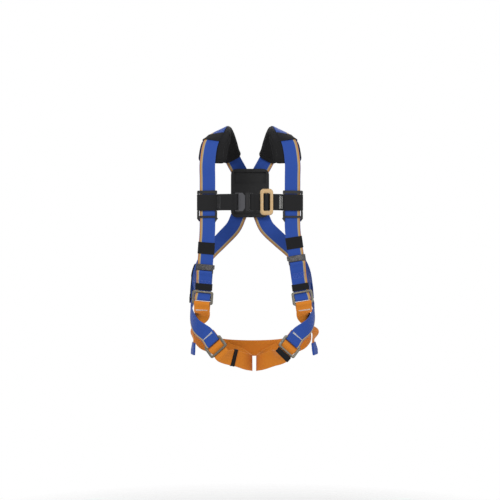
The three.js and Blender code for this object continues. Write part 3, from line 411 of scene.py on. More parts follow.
def seat_end():
    """Places [height, along] of the seat strap's end, laid round the hip frame's lowest bar."""
    low = -HIP_FRAME["height"] / 2
    loop = around_bar(bar_of(HIP_FRAME["plate"], low, HIP_FRAME["outer"]), [180, 135, 100, 80, 45, 0, -25])
    return [[0, low - 17], [0, low - 9], *loop,
            [LAYER + 1.5, low - 8], [LAYER + 0.3, low - 15], [-1.5, low - 29]]


def seat_half(sign):
    """Stations from a hip frame down and back round the trunk, from rows of degrees and height."""
    rows = [(-19, -61), (-5, -85), (12, -110), (36, -134), (62, -147)]
    return [around_trunk(sign, a, HIP + rise, SEAT_LIFT) for a, rise in rows]


def seat_route():
    """From one hip frame down and level round the back, and up to the other one."""
    return route_of([
        *threaded(lower_frame(-1, 0), seat_end(), 1),
        *seat_half(-1),
        around_trunk(1, 90, HIP - SEAT_DROP, SEAT_LIFT),
        *seat_half(1)[::-1],
        *threaded(lower_frame(1, 0), seat_end()[::-1], -1),
    ])


def buckle_frame(sign):
    """The leg buckle's local frame, whose Z is level * cos + upwards * sin of its slope."""
    station = around_trunk(sign, LEG["angle"], HIP - LEG["drop"], 5)
    slope = math.radians(LEG["slope"])
    level = np.cross(vec(0, 0, 1), station["n"]) * sign
    return frame_at(station["p"], level * math.cos(slope) + vec(0, 0, math.sin(slope)), station["n"])


def leg_route(side):
    """From the hip down the outer thigh to the leg buckle's upper bar, round it and back."""
    sign = side["sign"]
    f, top = buckle_frame(sign), LEG_BUCKLE["height"] / 2
    bar = bar_of(LEG_BUCKLE["plate"], top - LEG_BUCKLE["outer"], LEG_BUCKLE["outer"])
    loop = around_bar(bar, [25, 0, -45, -80, -100, -135, 180])
    outside = SEAT_LIFT + LAYER + 8
    rows = [(8, 31, HIP_STACK - LAYER), (2, -1, SEAT_LIFT + LAYER), (-4, -31, outside), (-14, -54, outside),
            (-28, -79, outside)]
    at_buckle = [[LAYER + 0.6, top + 22], [LAYER + 0.6, top + 14], [LAYER + 1.7, top + 7], *loop,
                 [0, top + 10], [0, top + 18]]
    outer = [around_trunk(sign, a, HIP + rise, lift) for a, rise, lift in rows]
    return route_of([*outer, *threaded(f, at_buckle, 1)], 2)


def thigh_route(side):
    """From the seat strap round the inner thigh and through the leg buckle, over its clamp bar."""
    sign = side["sign"]
    f, top = buckle_frame(sign), LEG_BUCKLE["height"] / 2
    over = CLAMP_FAR + HALF + 0.8
    rows = [(36, 0.447, 13, -sign * 0.2, 0.95, -0.1), (12, 0.274, 1, -sign * 0.85, 0.45, -0.2),
            (0, 0.097, -3, -sign, 0, 0), (0, -0.062, 0, -sign, -0.15, 0),
            (16, -0.212, 6, -sign * 0.7, -0.7, 0), (44, -0.345, 18, -sign * 0.25, -0.95, 0.05)]
    crotch = HIP - LEG["crotch"]
    inner = [on(vec(LEG["shift"] + sign * (LEG["gap"] + x), y * DEPTH, crotch + z), vec(nx, ny, nz))
             for x, y, z, nx, ny, nz in rows]
    points = [[0, -top - 12], [0, 2 - top], [0, 7 - top], [over - 0.6, -4.6], [over, 0], [over - 0.6, 4.6],
              [-LAYER, top - 8], [-LAYER, top + 6], [-LAYER, top + 22]]
    return route_of([around_trunk(sign, 64, HIP - 155, 2 - LAYER), *inner, *threaded(f, points, -1)], 2)


def tail_route(side):
    """A loose tail: at each share of its drop it stands so far out and turns so far to the front."""
    sign = side["sign"]
    start = around_trunk(sign, -9, HIP - TAIL["top"], SEAT_LIFT + LAYER)
    x, y, z = start["p"]
    hang = lambda share, out, turn: on(vec(x + sign * out, y, z - share * (TAIL["foot"] - TAIL["top"])),
                                       vec(sign, -turn, 0))
    return route_of([start, *[hang(*row) for row in side["tail"]]])


def chest_station(x, lift=0.0):
    """On the chest strap: forward by the bulge times one minus the 2.2th power of x over its reach."""
    reach, bulge = SPACING / 2, BULGE - STRAP_Y
    rise = bulge * (1 - abs(x / reach) ** 2.2)
    slope = -2.2 * bulge * np.sign(x) * abs(x / reach) ** 1.2 / reach
    n = unit(vec(-slope, -1, 0))
    return vec(x, -STRAP_Y - rise, -CHEST_DROP) + n * (2 * NEAR + CARRIAGE_PLATE + lift), n


CHEST_ENDS = {-1: (PLUG_BAR_X, PLUG_BAR_X - 22, False), 1: (SOCKET_BAR_X, SOCKET_BAR_X + 16, True)}


def upright(place):
    """A station whose width stands upright."""
    return {"p": place, "w": vec(0, 0, 1)}


def chest_frame_at(x, lift=0.0):
    """An upright local frame on the chest strap, at a distance from the middle."""
    place, n = chest_station(x, lift)
    return frame_at(place, vec(0, 0, 1), n)


def across_points(f, points):
    """Upright stations from places [height, across] in a local frame."""
    return [upright(in_frame(f, a, h, 0)) for h, a in points]


def chest_run(start, end, lift, pieces):
    """Stations spread evenly between two distances from the middle, at one lift."""
    return [upright(chest_station(start + (end - start) * i / pieces, lift)[0]) for i in range(pieces + 1)]


def through_frame(start, edge):
    """Stations through the chest frame: behind its rims and up over its middle bar."""
    f = chest_frame_at(CHEST_FRAME["x"])
    over = NEAR + CHEST_FRAME["bar_plate"] + HALF + HARD_CLEAR
    points = [[0, -14], [0, -8.6], [over - 0.3, -2.6], [over, 0], [over - 0.3, 2.6], [0, 8.6], [0, 14]]
    return [upright(chest_station(start)[0]), *across_points(f, points), upright(chest_station(edge)[0])]


def chest_route(side):
    """Half of the chest strap: from its loose end behind, round its buckle's bar, through the chest
    frame on the left, across to the carriage, round that and back to where it is sewn."""
    sign, bar = side["sign"], BUCKLE_BAR / 2
    bar_x, back_end, framed = CHEST_ENDS[sign]
    at_bar = [[h, a * sign + bar_x - SEAM]
              for h, a in around_bar((-bar, bar, -bar, bar), [170, -170, -135, -100, -80, -45, -10, 10])]
    edge = (SPACING / 2 - WIDTH / 2 - 14) * sign
    inner = (SPACING / 2 - SEWN_RUN) * sign
    start = bar_x + sign * 9
    neck = WIDTH / 2 + 0.7 + ARM
    loop = around_bar((-HALF, NEAR + CARRIAGE_PLATE, -neck, neck), [-10, 10, 45, 80, 100, 135, 170, 190])
    return route_of([
        *chest_run(back_end, start, -LAYER, 1),
        *across_points(chest_frame_at(SEAM, -LAYER / 2), at_bar),
        *(through_frame(start, edge) if framed else chest_run(start, edge, 0, 3)),
        *across_points(upper_frame(sign, CHEST_DROP), [[h, a * sign] for h, a in loop]),
        *chest_run(inner + sign * 6, inner, -LAYER - 0.4, 1),
    ], 2)


# ---------------------------------------------------------------- meshes


def outward(verts, faces):
    """True if the faces point outwards: the signed volume of their fans is not negative."""
    total = 0.0
    for quad in faces:
        first = verts[quad[:, 0]]
        for k in range(1, quad.shape[1] - 1):
            total += np.sum(first * np.cross(verts[quad[:, k]], verts[quad[:, k + 1]]))
    return total >= 0


def add_piece(name, shape, look, body="webbing", instead=True, sharp=50.0):
    """Puts a shape (vertices in mm, arrays of faces, their UVs or None) into a mesh object with one
    of the LOOKS, turned outwards. It stands for the CAD node of its name unless instead is false."""
    verts, faces, uvs = shape
    if not outward(verts, faces):
        faces = [f[:, ::-1] for f in faces]
        uvs = [u[:, ::-1] for u in uvs] if uvs is not None else None
    mesh = bpy.data.meshes.new(name)
    mesh.from_pydata((verts * MM).tolist(), [], [row for f in faces for row in f.tolist()])
    if uvs is not None:
        flat = np.concatenate([u.reshape(-1, 2) for u in uvs]) * MM
        mesh.uv_layers.new(name="run").data.foreach_set("uv", flat.ravel())
    mesh.polygons.foreach_set("use_smooth", np.ones(len(mesh.polygons), bool))
    mesh.set_sharp_from_angle(angle=math.radians(sharp))
    mesh.materials.append(LOOKS[look])
    mesh.update()
    piece = bpy.data.objects.new(name, mesh)
    bpy.context.scene.collection.objects.link(piece)
    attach(piece, body)
    if instead:
        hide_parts(name)
    return piece


def add_stitches(name, shapes, look, body="webbing"):
    """Thread is a piece of its own on the strap, and stands for no CAD node."""
    return add_piece(name, join_shapes(shapes), look, body, False, 80)


def add_metal(name, shapes, look, body="webbing"):
    """A frame or ring made of several closed shapes."""
    return add_piece(name, join_shapes(shapes), look, body, True, 38)


def grid_faces(rows, columns, closed_rows=False):
    """Quads of a grid whose columns wrap round, and whose rows do too if asked."""
    last = rows if closed_rows else rows - 1
    i, j = np.meshgrid(np.arange(last), np.arange(columns), indexing="ij")
    i2, j2 = (i + 1) % rows, (j + 1) % columns
    quads = np.stack([i * columns + j, i * columns + j2, i2 * columns + j2, i2 * columns + j], -1)
    return quads.reshape(-1, 4)


def tube_of(points, uv=None, closed=False):
    """Faces and UVs of a tube given as rows of rings (n, m, 3); open ends get flat caps."""
    n, m = points.shape[:2]
    faces = [grid_faces(n, m, closed)]
    uvs = None
    if uv is not None:
        wide = np.concatenate([uv, uv[:, :1]], 1)
        if closed:
            wide = np.concatenate([wide, wide[:1]], 0)
        uvs = [np.stack([wide[:-1, :-1], wide[:-1, 1:], wide[1:, 1:], wide[1:, :-1]], 2).reshape(-1, 4, 2)]
    if not closed:
        faces += [np.arange(m)[::-1][None], (np.arange(m) + (n - 1) * m)[None]]
        if uv is not None:
            uvs += [uv[0][::-1][None], uv[-1][None]]
    return points.reshape(-1, 3), faces, uvs


def join_shapes(shapes):
    """Several closed shapes in one, each turned outwards and its faces renumbered, without UVs."""
    verts, faces, base = [], [], 0
    for v, f, _ in shapes:
        turn = 1 if outward(v, f) else -1
        verts.append(v)
        faces += [a[:, ::turn] + base for a in f]
        base += len(v)
    return np.concatenate(verts), faces, None


def strap_profile(half_w, half_t, flats=12, rounds=4):
    """The outline of woven webbing: two flat faces and two half-round selvages."""
    edge = half_w - half_t
    x = np.linspace(-edge, edge, flats)
    a = np.linspace(-np.pi / 2, np.pi / 2, rounds + 2)[1:-1]
    across = np.concatenate([x, edge + half_t * np.cos(a), x[::-1], -edge - half_t * np.cos(a[::-1])])
    height = np.concatenate([np.full(flats, -half_t), half_t * np.sin(a), np.full(flats, half_t),
                             half_t * np.sin(a[::-1])])
    return across, height


def swept(route, across, height):
    """Rings of a profile carried along a route: across its width and out along its normal."""
    w, n = route["w"][:, None], route["n"][:, None]
    return route["p"][:, None] + across[..., None] * w + height[..., None] * n


def webbing_shape(route, width=WIDTH, flip=1.0):
    """A webbing strap: its outline carried along the route. U runs across it, V along it."""
    across, height = strap_profile(width / 2, HALF)
    points = swept(route, across, height)
    uv = np.stack(np.broadcast_arrays(flip * across[None], route["v"][:, None]), -1)
    return tube_of(points, uv)


def surface_point(route, u, v, lift):
    """Places on a strap, u across it, v along it and lift over its middle plane, and its normals."""
    p, w, n = section_at(route, v)
    return p + u[..., None] * w + lift[..., None] * n, n


def thread_shape(route, ends, face, radius=0.42, sides=6):
    """Sewing thread: a short raised tube for each pair (u0, v0, u1, v1) on one face of a strap."""
    ends = np.asarray(ends, float)
    share = np.array([0.0, 0.25, 0.75, 1.0])
    rise = np.array([-0.25, 0.3, 0.3, -0.25]) * face
    size = np.array([0.6, 1.0, 1.0, 0.6]) * radius
    u = ends[:, 0, None] + (ends[:, 2] - ends[:, 0])[:, None] * share
    v = ends[:, 1, None] + (ends[:, 3] - ends[:, 1])[:, None] * share
    middle, n = surface_point(route, u, v, HALF * face + rise)
    along = unit(middle[:, -1:] - middle[:, :1])
    side = unit(np.cross(along, n))
    a = np.linspace(0, 2 * np.pi, sides, endpoint=False)
    ring = np.cos(a)[:, None] * side[:, :, None] + np.sin(a)[:, None] * n[:, :, None]
    points = middle[:, :, None] + size[None, :, None, None] * ring
    count = len(ends)
    one = grid_faces(4, sides)
    base = (np.arange(count) * 4 * sides)[:, None, None]
    quads = (one[None] + base).reshape(-1, 4)
    caps = np.stack([np.arange(sides)[::-1], np.arange(sides) + 3 * sides])
    caps = (caps[None] + base).reshape(-1, sides)
    return points.reshape(-1, 3), [quads, caps], None


def seam_ends(u0, v0, u1, v1, pitch=4.2, gap=0.7):
    """Stitches in a straight line between two places on a strap, with small gaps between them."""
    length = math.hypot(u1 - u0, v1 - v0)
    count = max(1, round(length / pitch))
    start = np.arange(count) / count
    stop = start + (1 - gap / pitch) / count
    line = lambda s: np.stack([u0 + (u1 - u0) * s, v0 + (v1 - v0) * s], -1)
    return np.concatenate([line(start), line(stop)], 1)


def zigzag_ends(u0, v0, u1, v1, wide, turns):
    """Stitches of a zigzag line between two places: each leg crosses the line and is one stitch."""
    s = np.linspace(0, 1, turns + 1)
    along = np.array([u1 - u0, v1 - v0])
    off = np.array([-along[1], along[0]]) / np.hypot(*along) * wide / 2
    p = np.array([u0, v0]) + s[:, None] * along + np.where(np.arange(turns + 1) % 2, 1, -1)[:, None] * off
    return np.concatenate([p[:-1], p[1:]], 1)


def sewn_block(v0, v1, half_u, inset=5.0):
    """A boxed zigzag: the rectangle round a sewn joint and a zigzag of long legs inside it."""
    rows = [seam_ends(-half_u, v0, half_u, v0), seam_ends(-half_u, v1, half_u, v1),
            seam_ends(-half_u, v0, -half_u, v1), seam_ends(half_u, v0, half_u, v1)]
    legs = 6
    u = np.linspace(-half_u + inset * 0.5, half_u - inset * 0.5, legs + 1)
    v = np.where(np.arange(legs + 1) % 2, v1 - 1.5, v0 + 1.5)
    rows += [seam_ends(u[k], v[k], u[k + 1], v[k + 1]) for k in range(legs)]
    return np.concatenate(rows)


# ---------------------------------------------------------------- materials


class Look:
    """A material whose colour, roughness and bump come from small chains of nodes."""

    def __init__(self, name, rough, metallic=0.0, **sockets):
        self.material = bpy.data.materials.new(name)
        self.material.use_nodes = True
        self.tree = self.material.node_tree
        self.shader = self.tree.nodes["Principled BSDF"]
        self.set(self.shader, {"Roughness": rough, "Metallic": metallic, **sockets})

    def set(self, node, values):
        """Gives sockets their values, and links those whose value is another node's socket."""
        for key, value in values.items():
            socket = node.inputs[key]
            if isinstance(value, bpy.types.NodeSocket):
                self.tree.links.new(value, socket)
            else:
                socket.default_value = value

    def node(self, kind, values=None, **settings):
        """A new node with its own settings and its sockets' values."""
        node = self.tree.nodes.new(kind)
        for key, value in settings.items():
            setattr(node, key, value)
        self.set(node, values or {})
        return node

    def math(self, operation, a, b=0.0, c=0.0):
        """One step of arithmetic."""
        return self.node("ShaderNodeMath", {0: a, 1: b, 2: c}, operation=operation).outputs[0]

    def mix(self, share, a, b):
        """Colour a, turning into colour b by the share."""
        return self.node("ShaderNodeMix", {0: share, 6: a, 7: b}, data_type="RGBA").outputs[2]

    def noise(self, where, scale, detail=3.0, rough=0.5):
        """Fractal noise at a place, from 0 to 1."""
        values = {"Vector": where, "Scale": scale, "Detail": detail, "Roughness": rough}
        return self.node("ShaderNodeTexNoise", values).outputs["Fac"]

    def stretched(self, where, scale):
        """A place, scaled along each axis."""
        return self.node("ShaderNodeMapping", {0: where, 3: scale}).outputs[0]

    def object_place(self):
        """The place on the object, in metres."""
        return self.node("ShaderNodeTexCoord").outputs["Object"]

    def run(self):
        """U across and V along the piece, in metres, and both as one vector."""
        uv = self.node("ShaderNodeUVMap", uv_map="run").outputs[0]
        xyz = self.node("ShaderNodeSeparateXYZ", {0: uv}).outputs
        return xyz[0], xyz[1], uv

    def range(self, value, low, high, soft):
        """1 where low < value < high, falling to 0 over a soft edge."""
        rise = self.math("SUBTRACT", value, low)
        fall = self.math("SUBTRACT", high, value)
        least = self.math("MINIMUM", rise, fall)
        node = self.node("ShaderNodeMapRange", {0: least, 1: -soft / 2, 2: soft / 2, 3: 0.0, 4: 1.0})
        return node.outputs[0]

    def scaled(self, share, low, high):
        """A share from 0 to 1, spread from low to high."""
        return self.node("ShaderNodeMapRange", {0: share, 1: 0.0, 2: 1.0, 3: low, 4: high}).outputs[0]

    def finish(self, colour, rough=None, bump=None, depth=0.0001, strength=1.0):
        """Sets the colour, the roughness and the bump, and gives back the material."""
        self.set(self.shader, {"Base Color": colour})
        if rough is not None:
            self.set(self.shader, {"Roughness": rough})
        if bump is not None:
            node = self.node("ShaderNodeBump", {"Height": bump, "Distance": depth, "Strength": strength})
            self.set(self.shader, {"Normal": node.outputs[0]})
        return self.material


def linear(colour, gain=1.0):
    """A written screen colour as linear light, scaled, with full alpha."""
    c = np.asarray(colour[:3], float)
    light = np.where(c <= 0.04045, c / 12.92, ((c + 0.055) / 1.055) ** 2.4) * gain
    return (*np.clip(light, 0, 1).tolist(), 1.0)


def woven_look(name, colour, stripes=(), sheen=0.1):
    """Webbing: slanted floats in narrow cords that turn at each cord, with painted shade between the threads
    and a painted highlight on their crests, following the bump's height, with fuzzy, slightly paler selvages,
    soft stains along the run and any lengthwise stripes."""
    look = Look(name, 0.62, **{"Sheen Weight": sheen, "Sheen Roughness": 0.45, "Specular IOR Level": 0.16})
    u, v, both = look.run()
    cord = look.math("PINGPONG", u, 0.0022)
    phase = look.math("DIVIDE", look.math("ADD", v, look.math("MULTIPLY", cord, 0.9)), 0.0019)
    weft = look.scaled(look.math("SINE", look.math("MULTIPLY", phase, 2 * math.pi)), 0.5, 1.0)
    groove = look.math("SINE", look.math("DIVIDE", cord, 0.0022 / math.pi))
    thread = look.math("MULTIPLY", weft, look.scaled(groove, 0.45, 1.0))
    stain = look.noise(look.stretched(both, (60, 18, 1)), 1.0, 4.0)
    # Painted shade and highlight: the colour falls to 0.62 between the threads and rises to 1.12 on their
    # crests, by the same height as the bump.
    base = look.mix(thread, linear(colour, 0.62), linear(colour, 1.12))
    for low, high, tint in stripes:
        inside = look.range(u, low, high, 0.0005)
        # The stripes get the same painted shade between threads and painted highlight on crests.
        base = look.mix(inside, base, look.mix(thread, linear(tint, 0.72), linear(tint, 1.05)))
    worn = look.scaled(stain, 0.0, 0.16)
    base = look.mix(worn, base, linear([min(1, c * 0.7 + 0.22) for c in colour[:3]]))
    edge = look.range(look.math("ABSOLUTE", u), STRAP_EDGE - 0.0012, 1.0, 0.0008)
    base = look.mix(look.math("MULTIPLY", edge, 0.35), base, linear([c * 0.8 + 0.12 for c in colour[:3]]))
    rough = look.scaled(stain, 0.5, 0.78)
    return look.finish(base, rough, thread, 0.00022, 0.8)


def elastic_look(name, colour):
    """Elastic: fine raised cords that run round the loop, painted darker between the cords as shade and
    lighter on their tops as highlight, with a dull rubbery sheen.
    """
    look = Look(name, 0.7, **{"Sheen Weight": 0.03, "Specular IOR Level": 0.14})
    u, v, both = look.run()
    cord = look.math("SINE", look.math("DIVIDE", v, 0.0016 / (2 * math.pi)))
    tooth = look.math("SINE", look.math("DIVIDE", u, 0.0009 / (2 * math.pi)))
    height = look.scaled(look.math("ADD", cord, look.math("MULTIPLY", tooth, 0.35)), 0.4, 0.8)
    speck = look.noise(both, 900.0, 2.0)
    # Painted shade and highlight: the colour follows the cords' height, from 0.6 in the grooves to 1.5 on
    # top.
    base = look.mix(height, linear(colour, 0.6), linear(colour, 1.5))
    base = look.mix(look.scaled(speck, -0.08, 0.14), base, linear((0.35, 0.35, 0.37)))
    return look.finish(base, look.scaled(speck, 0.6, 0.85), height, 0.00025)


def cloth_look(name, colour, cell=0.0016, depth=0.00022):
    """Plain cloth: two crossing sets of round threads, painted darker between them as shade and lighter on
    top as highlight, a little worn where it stands proud.
    """
    look = Look(name, 0.75, **{"Sheen Weight": 0.05, "Sheen Roughness": 0.5, "Specular IOR Level": 0.14})
    u, v, _ = look.run()
    wave = lambda x: look.math("ABSOLUTE", look.math("SINE", look.math("DIVIDE", x, cell / math.pi)))
    height = look.math("MAXIMUM", wave(u), wave(v))
    wide = look.noise(look.object_place(), 38.0, 4.0)
    # Painted shade and highlight: the colour follows the threads' height, from 0.55 between them to 1.25 on
    # top.
    base = look.mix(height, linear(colour, 0.55), linear(colour, 1.25))
    base = look.mix(look.scaled(wide, -0.1, 0.22), base, linear([c + 0.13 for c in colour[:3]]))
    return look.finish(base, look.scaled(wide, 0.62, 0.88), height, depth)


def thread_look(name, colour):
    """Sewing thread: a tight twist along each stitch and a soft sheen."""
    look = Look(name, 0.5, **{"Sheen Weight": 0.3})
    twist = look.noise(look.object_place(), 1900.0, 1.0)
    base = look.mix(twist, linear(colour, 0.7), linear(colour, 1.1))
    return look.finish(base, None, twist, 0.0001)


def plastic_look(name, colour, rough=0.42):
    """Moulded plastic: a fine spark-eroded grain, broad uneven gloss and pale scuffs."""
    look = Look(name, rough, **{"Specular IOR Level": 0.3})
    place = look.object_place()
    grain = look.noise(place, 1500.0, 2.0)
    broad = look.noise(place, 60.0, 4.0, 0.6)
    scuff = look.noise(look.stretched(place, (1.0, 1.0, 5.0)), 160.0, 6.0, 0.75)
    worn = look.range(scuff, 0.62, 2.0, 0.06)
    base = look.mix(broad, linear(colour, 0.8), linear(colour, 1.2))
    base = look.mix(look.math("MULTIPLY", worn, 0.35), base, linear([c * 0.6 + 0.25 for c in colour[:3]]))
    gloss = look.math("ADD", look.scaled(broad, rough - 0.1, rough + 0.12), look.math("MULTIPLY", worn, 0.2))
    return look.finish(base, gloss, grain, 0.00005, 0.6)


def metal_look(name, colour, tint, rough=0.34):
    """Plated steel: fine scratches along and across, cloudy plating between two tints, dull in
    the clouds and bright where it has been rubbed."""
    look = Look(name, rough, 1.0)
    place = look.object_place()
    cloud = look.noise(place, 85.0, 4.0, 0.6)
    scratches = lambda scale: look.noise(look.stretched(place, scale), 300.0, 3.0)
    scratch = look.math("MAXIMUM", scratches((1.0, 1.0, 14.0)), scratches((12.0, 1.0, 1.0)))
    base = look.mix(look.range(cloud, 0.42, 2.0, 0.22), linear(colour), linear(tint))
    bare = look.math("MULTIPLY", look.range(scratch, 0.66, 2.0, 0.08), 0.5)
    base = look.mix(bare, base, linear((0.82, 0.81, 0.78)))
    uneven = look.scaled(cloud, rough - 0.1, rough + 0.14)
    gloss = look.math("ADD", uneven, look.math("MULTIPLY", scratch, 0.12))
    return look.finish(base, gloss, scratch, 0.00003, 0.5)


LOOKS = {}


def prepare_looks(scene):
    """Makes each material once, from the colours in the settings."""
    w, h = scene.harness_webbing, scene.harness_hardware
    if LOOKS:
        return
    outer = STRAP_EDGE - w.stripe_inset
    middle, inner = outer - w.stripe_width / 2, outer - w.stripe_width
    two_tone = [(middle, outer, w.stripe_outer), (inner, middle, w.stripe_inner)]
    thin = [(STRAP_EDGE - 0.0045, STRAP_EDGE - 0.0018, w.stripe_leg)]
    LOOKS.update(
        blue=woven_look("blue_webbing", w.blue, two_tone),
        blue_leg=woven_look("blue_leg_webbing", w.blue, thin),
        blue_sleeve=woven_look("blue_sleeve", w.blue),
        orange=woven_look("orange_webbing", w.orange),
        black=woven_look("black_webbing", w.black, sheen=0.02),
        elastic=elastic_look("black_elastic", w.black),
        pad=cloth_look("pad_cloth", w.pad_cloth),
        binding=cloth_look("binding_tape", w.black, 0.0011, 0.00012),
        pouch=cloth_look("pouch_cloth", w.black, 0.0013),
        white_thread=thread_look("white_thread", (0.86, 0.86, 0.84)),
        orange_thread=thread_look("orange_thread", (0.93, 0.55, 0.18)),
        blue_thread=thread_look("blue_thread", (0.3, 0.4, 0.78)),
        dark_thread=thread_look("dark_thread", (0.16, 0.16, 0.17)),
        black_plastic=plastic_look("black_plastic", h.black_plastic),
        grey_plastic=plastic_look("grey_plastic", h.grey_plastic, 0.5),
        steel=metal_look("plated_steel", h.steel, (0.4, 0.39, 0.36)),
        dark_steel=metal_look("darkened_steel", h.dark_steel, (0.24, 0.24, 0.25), 0.42),
        gold=metal_look("yellow_zinc", h.zinc, (0.68, 0.57, 0.42), 0.42),
    )


# ---------------------------------------------------------------- settings


def colour_setting(name, what, value):
    """A colour, as it is written for a screen."""
    return bpy.props.FloatVectorProperty(
        name=name, description=what, subtype="COLOR_GAMMA", size=3, min=0, max=1, default=value)


def length_setting(name, what, value, low=0.0, high=10.0):
    """A length, in metres."""
    return bpy.props.FloatProperty(
        name=name, description=what, unit="LENGTH", subtype="DISTANCE", min=low, max=high, default=value)


def power_setting(name, what, value):
    """A lamp's power, in watts."""
    return bpy.props.FloatProperty(name=name, description=what, subtype="POWER", min=0, default=value)


class HarnessWebbingSettings(bpy.types.PropertyGroup):
    """Colours of the webbing and cloth, and the woven stripe."""

    blue: colour_setting("Blue", "Colour of the shoulder, hip and leg straps", (0.15, 0.3, 0.65))
    orange: colour_setting("Orange", "Colour of the seat and thigh straps", (0.88, 0.52, 0.13))
    black: colour_setting("Black", "Colour of the chest strap, keepers and pouch", (0.062, 0.062, 0.068))
    pad_cloth: colour_setting("Pad cloth", "Colour of the shoulder pads", (0.066, 0.066, 0.07))
    stripe_outer: colour_setting("Stripe, outer half", "Colour next to the selvage", (0.82, 0.57, 0.16))
    stripe_inner: colour_setting("Stripe, inner half", "Colour away from the selvage", (0.74, 0.66, 0.46))
    stripe_leg: colour_setting("Leg stripe", "Colour of the leg straps' thin stripe", (0.86, 0.72, 0.25))
    stripe_width: length_setting("Stripe width", "Both halves together", 0.0072, 0.001, 0.02)
    stripe_inset: length_setting("Stripe inset", "From the strap's edge to the stripe", 0.0015, 0.0, 0.02)


class HarnessPadSettings(bpy.types.PropertyGroup):
    """Shape of the shoulder pads."""

    loft: length_setting("Loft", "Thickness of the foam at the middle of a pad", 0.0118, 0.004, 0.03)
    crown: length_setting("Crown", "How far the pad rises beside the strap", 0.0022, 0.0, 0.006)
    binding: length_setting("Binding", "Radius of the taped edge", 0.0021, 0.0005, 0.004)
    seam_inset: length_setting("Seam inset", "From the pad's edge to its stitched seam", 0.0075, 0.002, 0.02)


class HarnessHardwareSettings(bpy.types.PropertyGroup):
    """Colours of the metal and plastic parts, and the rounding of their edges."""

    steel: colour_setting("Steel", "Colour of the frames, buckles and ring", (0.43, 0.39, 0.32))
    dark_steel: colour_setting("Dark steel", "Colour of the torso adjusters", (0.33, 0.32, 0.32))
    zinc: colour_setting("Yellow zinc", "Colour of the chest frame", (0.64, 0.55, 0.42))
    black_plastic: colour_setting("Black plastic", "Colour of the carriages and socket", (0.06, 0.06, 0.065))
    grey_plastic: colour_setting("Grey plastic", "Colour of the chest plug", (0.27, 0.27, 0.285))
    edge: length_setting("Edge radius", "Rounding of moulded and bent edges", 0.0004, 0.0, 0.002)


class HarnessStageSettings(bpy.types.PropertyGroup):
    """Camera, floor and lamps."""

    distance: length_setting("Camera distance", "From the camera to the front straps", 4.0, 0.5, 20.0)
    view_width: length_setting("View width", "Width of the view at the front straps", 1.375, 0.2, 5.0)
    view_height: length_setting("View height", "Height of the camera over the origin", -0.302, -3.0, 3.0)
    floor: length_setting("Floor", "Height of the floor under the origin", -1.15, -3.0, 0.0)
    key: power_setting("Key light", "Power of the large front lamp", 62.0)
    fill: power_setting("Fill light", "Power of the side lamps", 22.0)
    ambient: bpy.props.FloatProperty(name="Ambient", description="Strength of the even light all round",
                                     min=0, max=2, default=0.5)


# ---------------------------------------------------------------- loops, bands, pads and plates


def in_place(f):
    """How (across, height, along) becomes a place, for a local frame."""
    return lambda a, h, l: in_frame(f, *np.broadcast_arrays(a, h, l))


def along_route(route, middle):
    """The same for a strap: along is the run past a middle, so that the piece bends with the strap."""

    def place(a, h, l):
        a, h, l = np.broadcast_arrays(a, h, l)
        return surface_point(route, a, middle + l, h)[0]

    return place


def rounded_loop(x0, x1, y0, y1, radius, corner=6, side=2):
    """A closed rounded rectangle, anticlockwise from the right side: places and outward normals.
    A corner point is its centre plus the radius at an angle; a side is split evenly."""
    a = np.linspace(0, np.pi / 2, corner)
    places, normals = [], []
    corners = ((x1, y1, 0), (x0, y1, 1), (x0, y0, 2), (x1, y0, 3))
    for cx, cy, turn in corners:
        angle = a + turn * np.pi / 2
        n = np.stack([np.cos(angle), np.sin(angle)], -1)
        corner_at = np.array([cx, cy])
        centre = corner_at - radius * np.sign(corner_at - [(x0 + x1) / 2, (y0 + y1) / 2])
        places.append(centre + radius * n)
        normals.append(n)
    full_p, full_n = [], []
    for k in range(4):
        start, stop = places[k][-1], places[(k + 1) % 4][0]
        share = (np.arange(1, side) / side)[:, None]
        full_p += [places[k], start + share * (stop - start)]
        full_n += [normals[k], np.repeat(normals[k][-1:], side - 1, 0)]
    return np.concatenate(full_p), np.concatenate(full_n)


def loop_shape(place, path, normals, offset, along, closed=True, taper=1.0):
    """A profile (offset off the path, along the strap) carried round a path in the strap's
    cross-section: place = path + offset * normal. UV: distance round the path, then along."""
    step = np.linalg.norm(np.diff(path, axis=0), axis=1)
    run = np.concatenate([[0], np.cumsum(step)])
    thin = np.ones(len(path))
    if not closed:
        thin[[0, -1]] = taper
    off = offset[None] * thin[:, None]
    a = path[:, 0, None] + off * normals[:, 0, None]
    h = path[:, 1, None] + off * normals[:, 1, None]
    points = place(a, h, np.broadcast_to(along[None], a.shape))
    uv = np.stack(np.broadcast_arrays(run[:, None], along[None]), -1)
    return tube_of(points, uv, closed)


def hemmed_profile(wall, length, hem=0.3, count=14):
    """An elastic's profile: flat inside, and outside a flat face with a thicker hem near each edge,
    wall / 2 plus the hem times a bell curve 1.1 mm wide."""
    x = np.linspace(-length / 2, length / 2, count)
    near_edge = np.abs(x) - (length / 2 - 1.5)
    thick = wall / 2 + hem * np.exp(-((near_edge / 1.1) ** 2))
    ends = np.array([length / 2 + 0.15])
    offset = np.concatenate([thick, [0.0], np.full(count, -wall / 2), [0.0]])
    along = np.concatenate([x, ends, x[::-1], -ends])
    return offset, along


def keeper_shape(place, height, deep):
    """An elastic loop round the strap; deep is how far it reaches behind the middle plane."""
    wall, slack = KEEPER["wall"], KEEPER["slack"]
    wide = WIDTH / 2 + slack + wall / 2
    path, normals = rounded_loop(-wide, wide, -deep - slack - wall / 2, HALF + slack + wall / 2, 1.3, 4, 12)
    return loop_shape(place, path, normals, *hemmed_profile(wall, height))


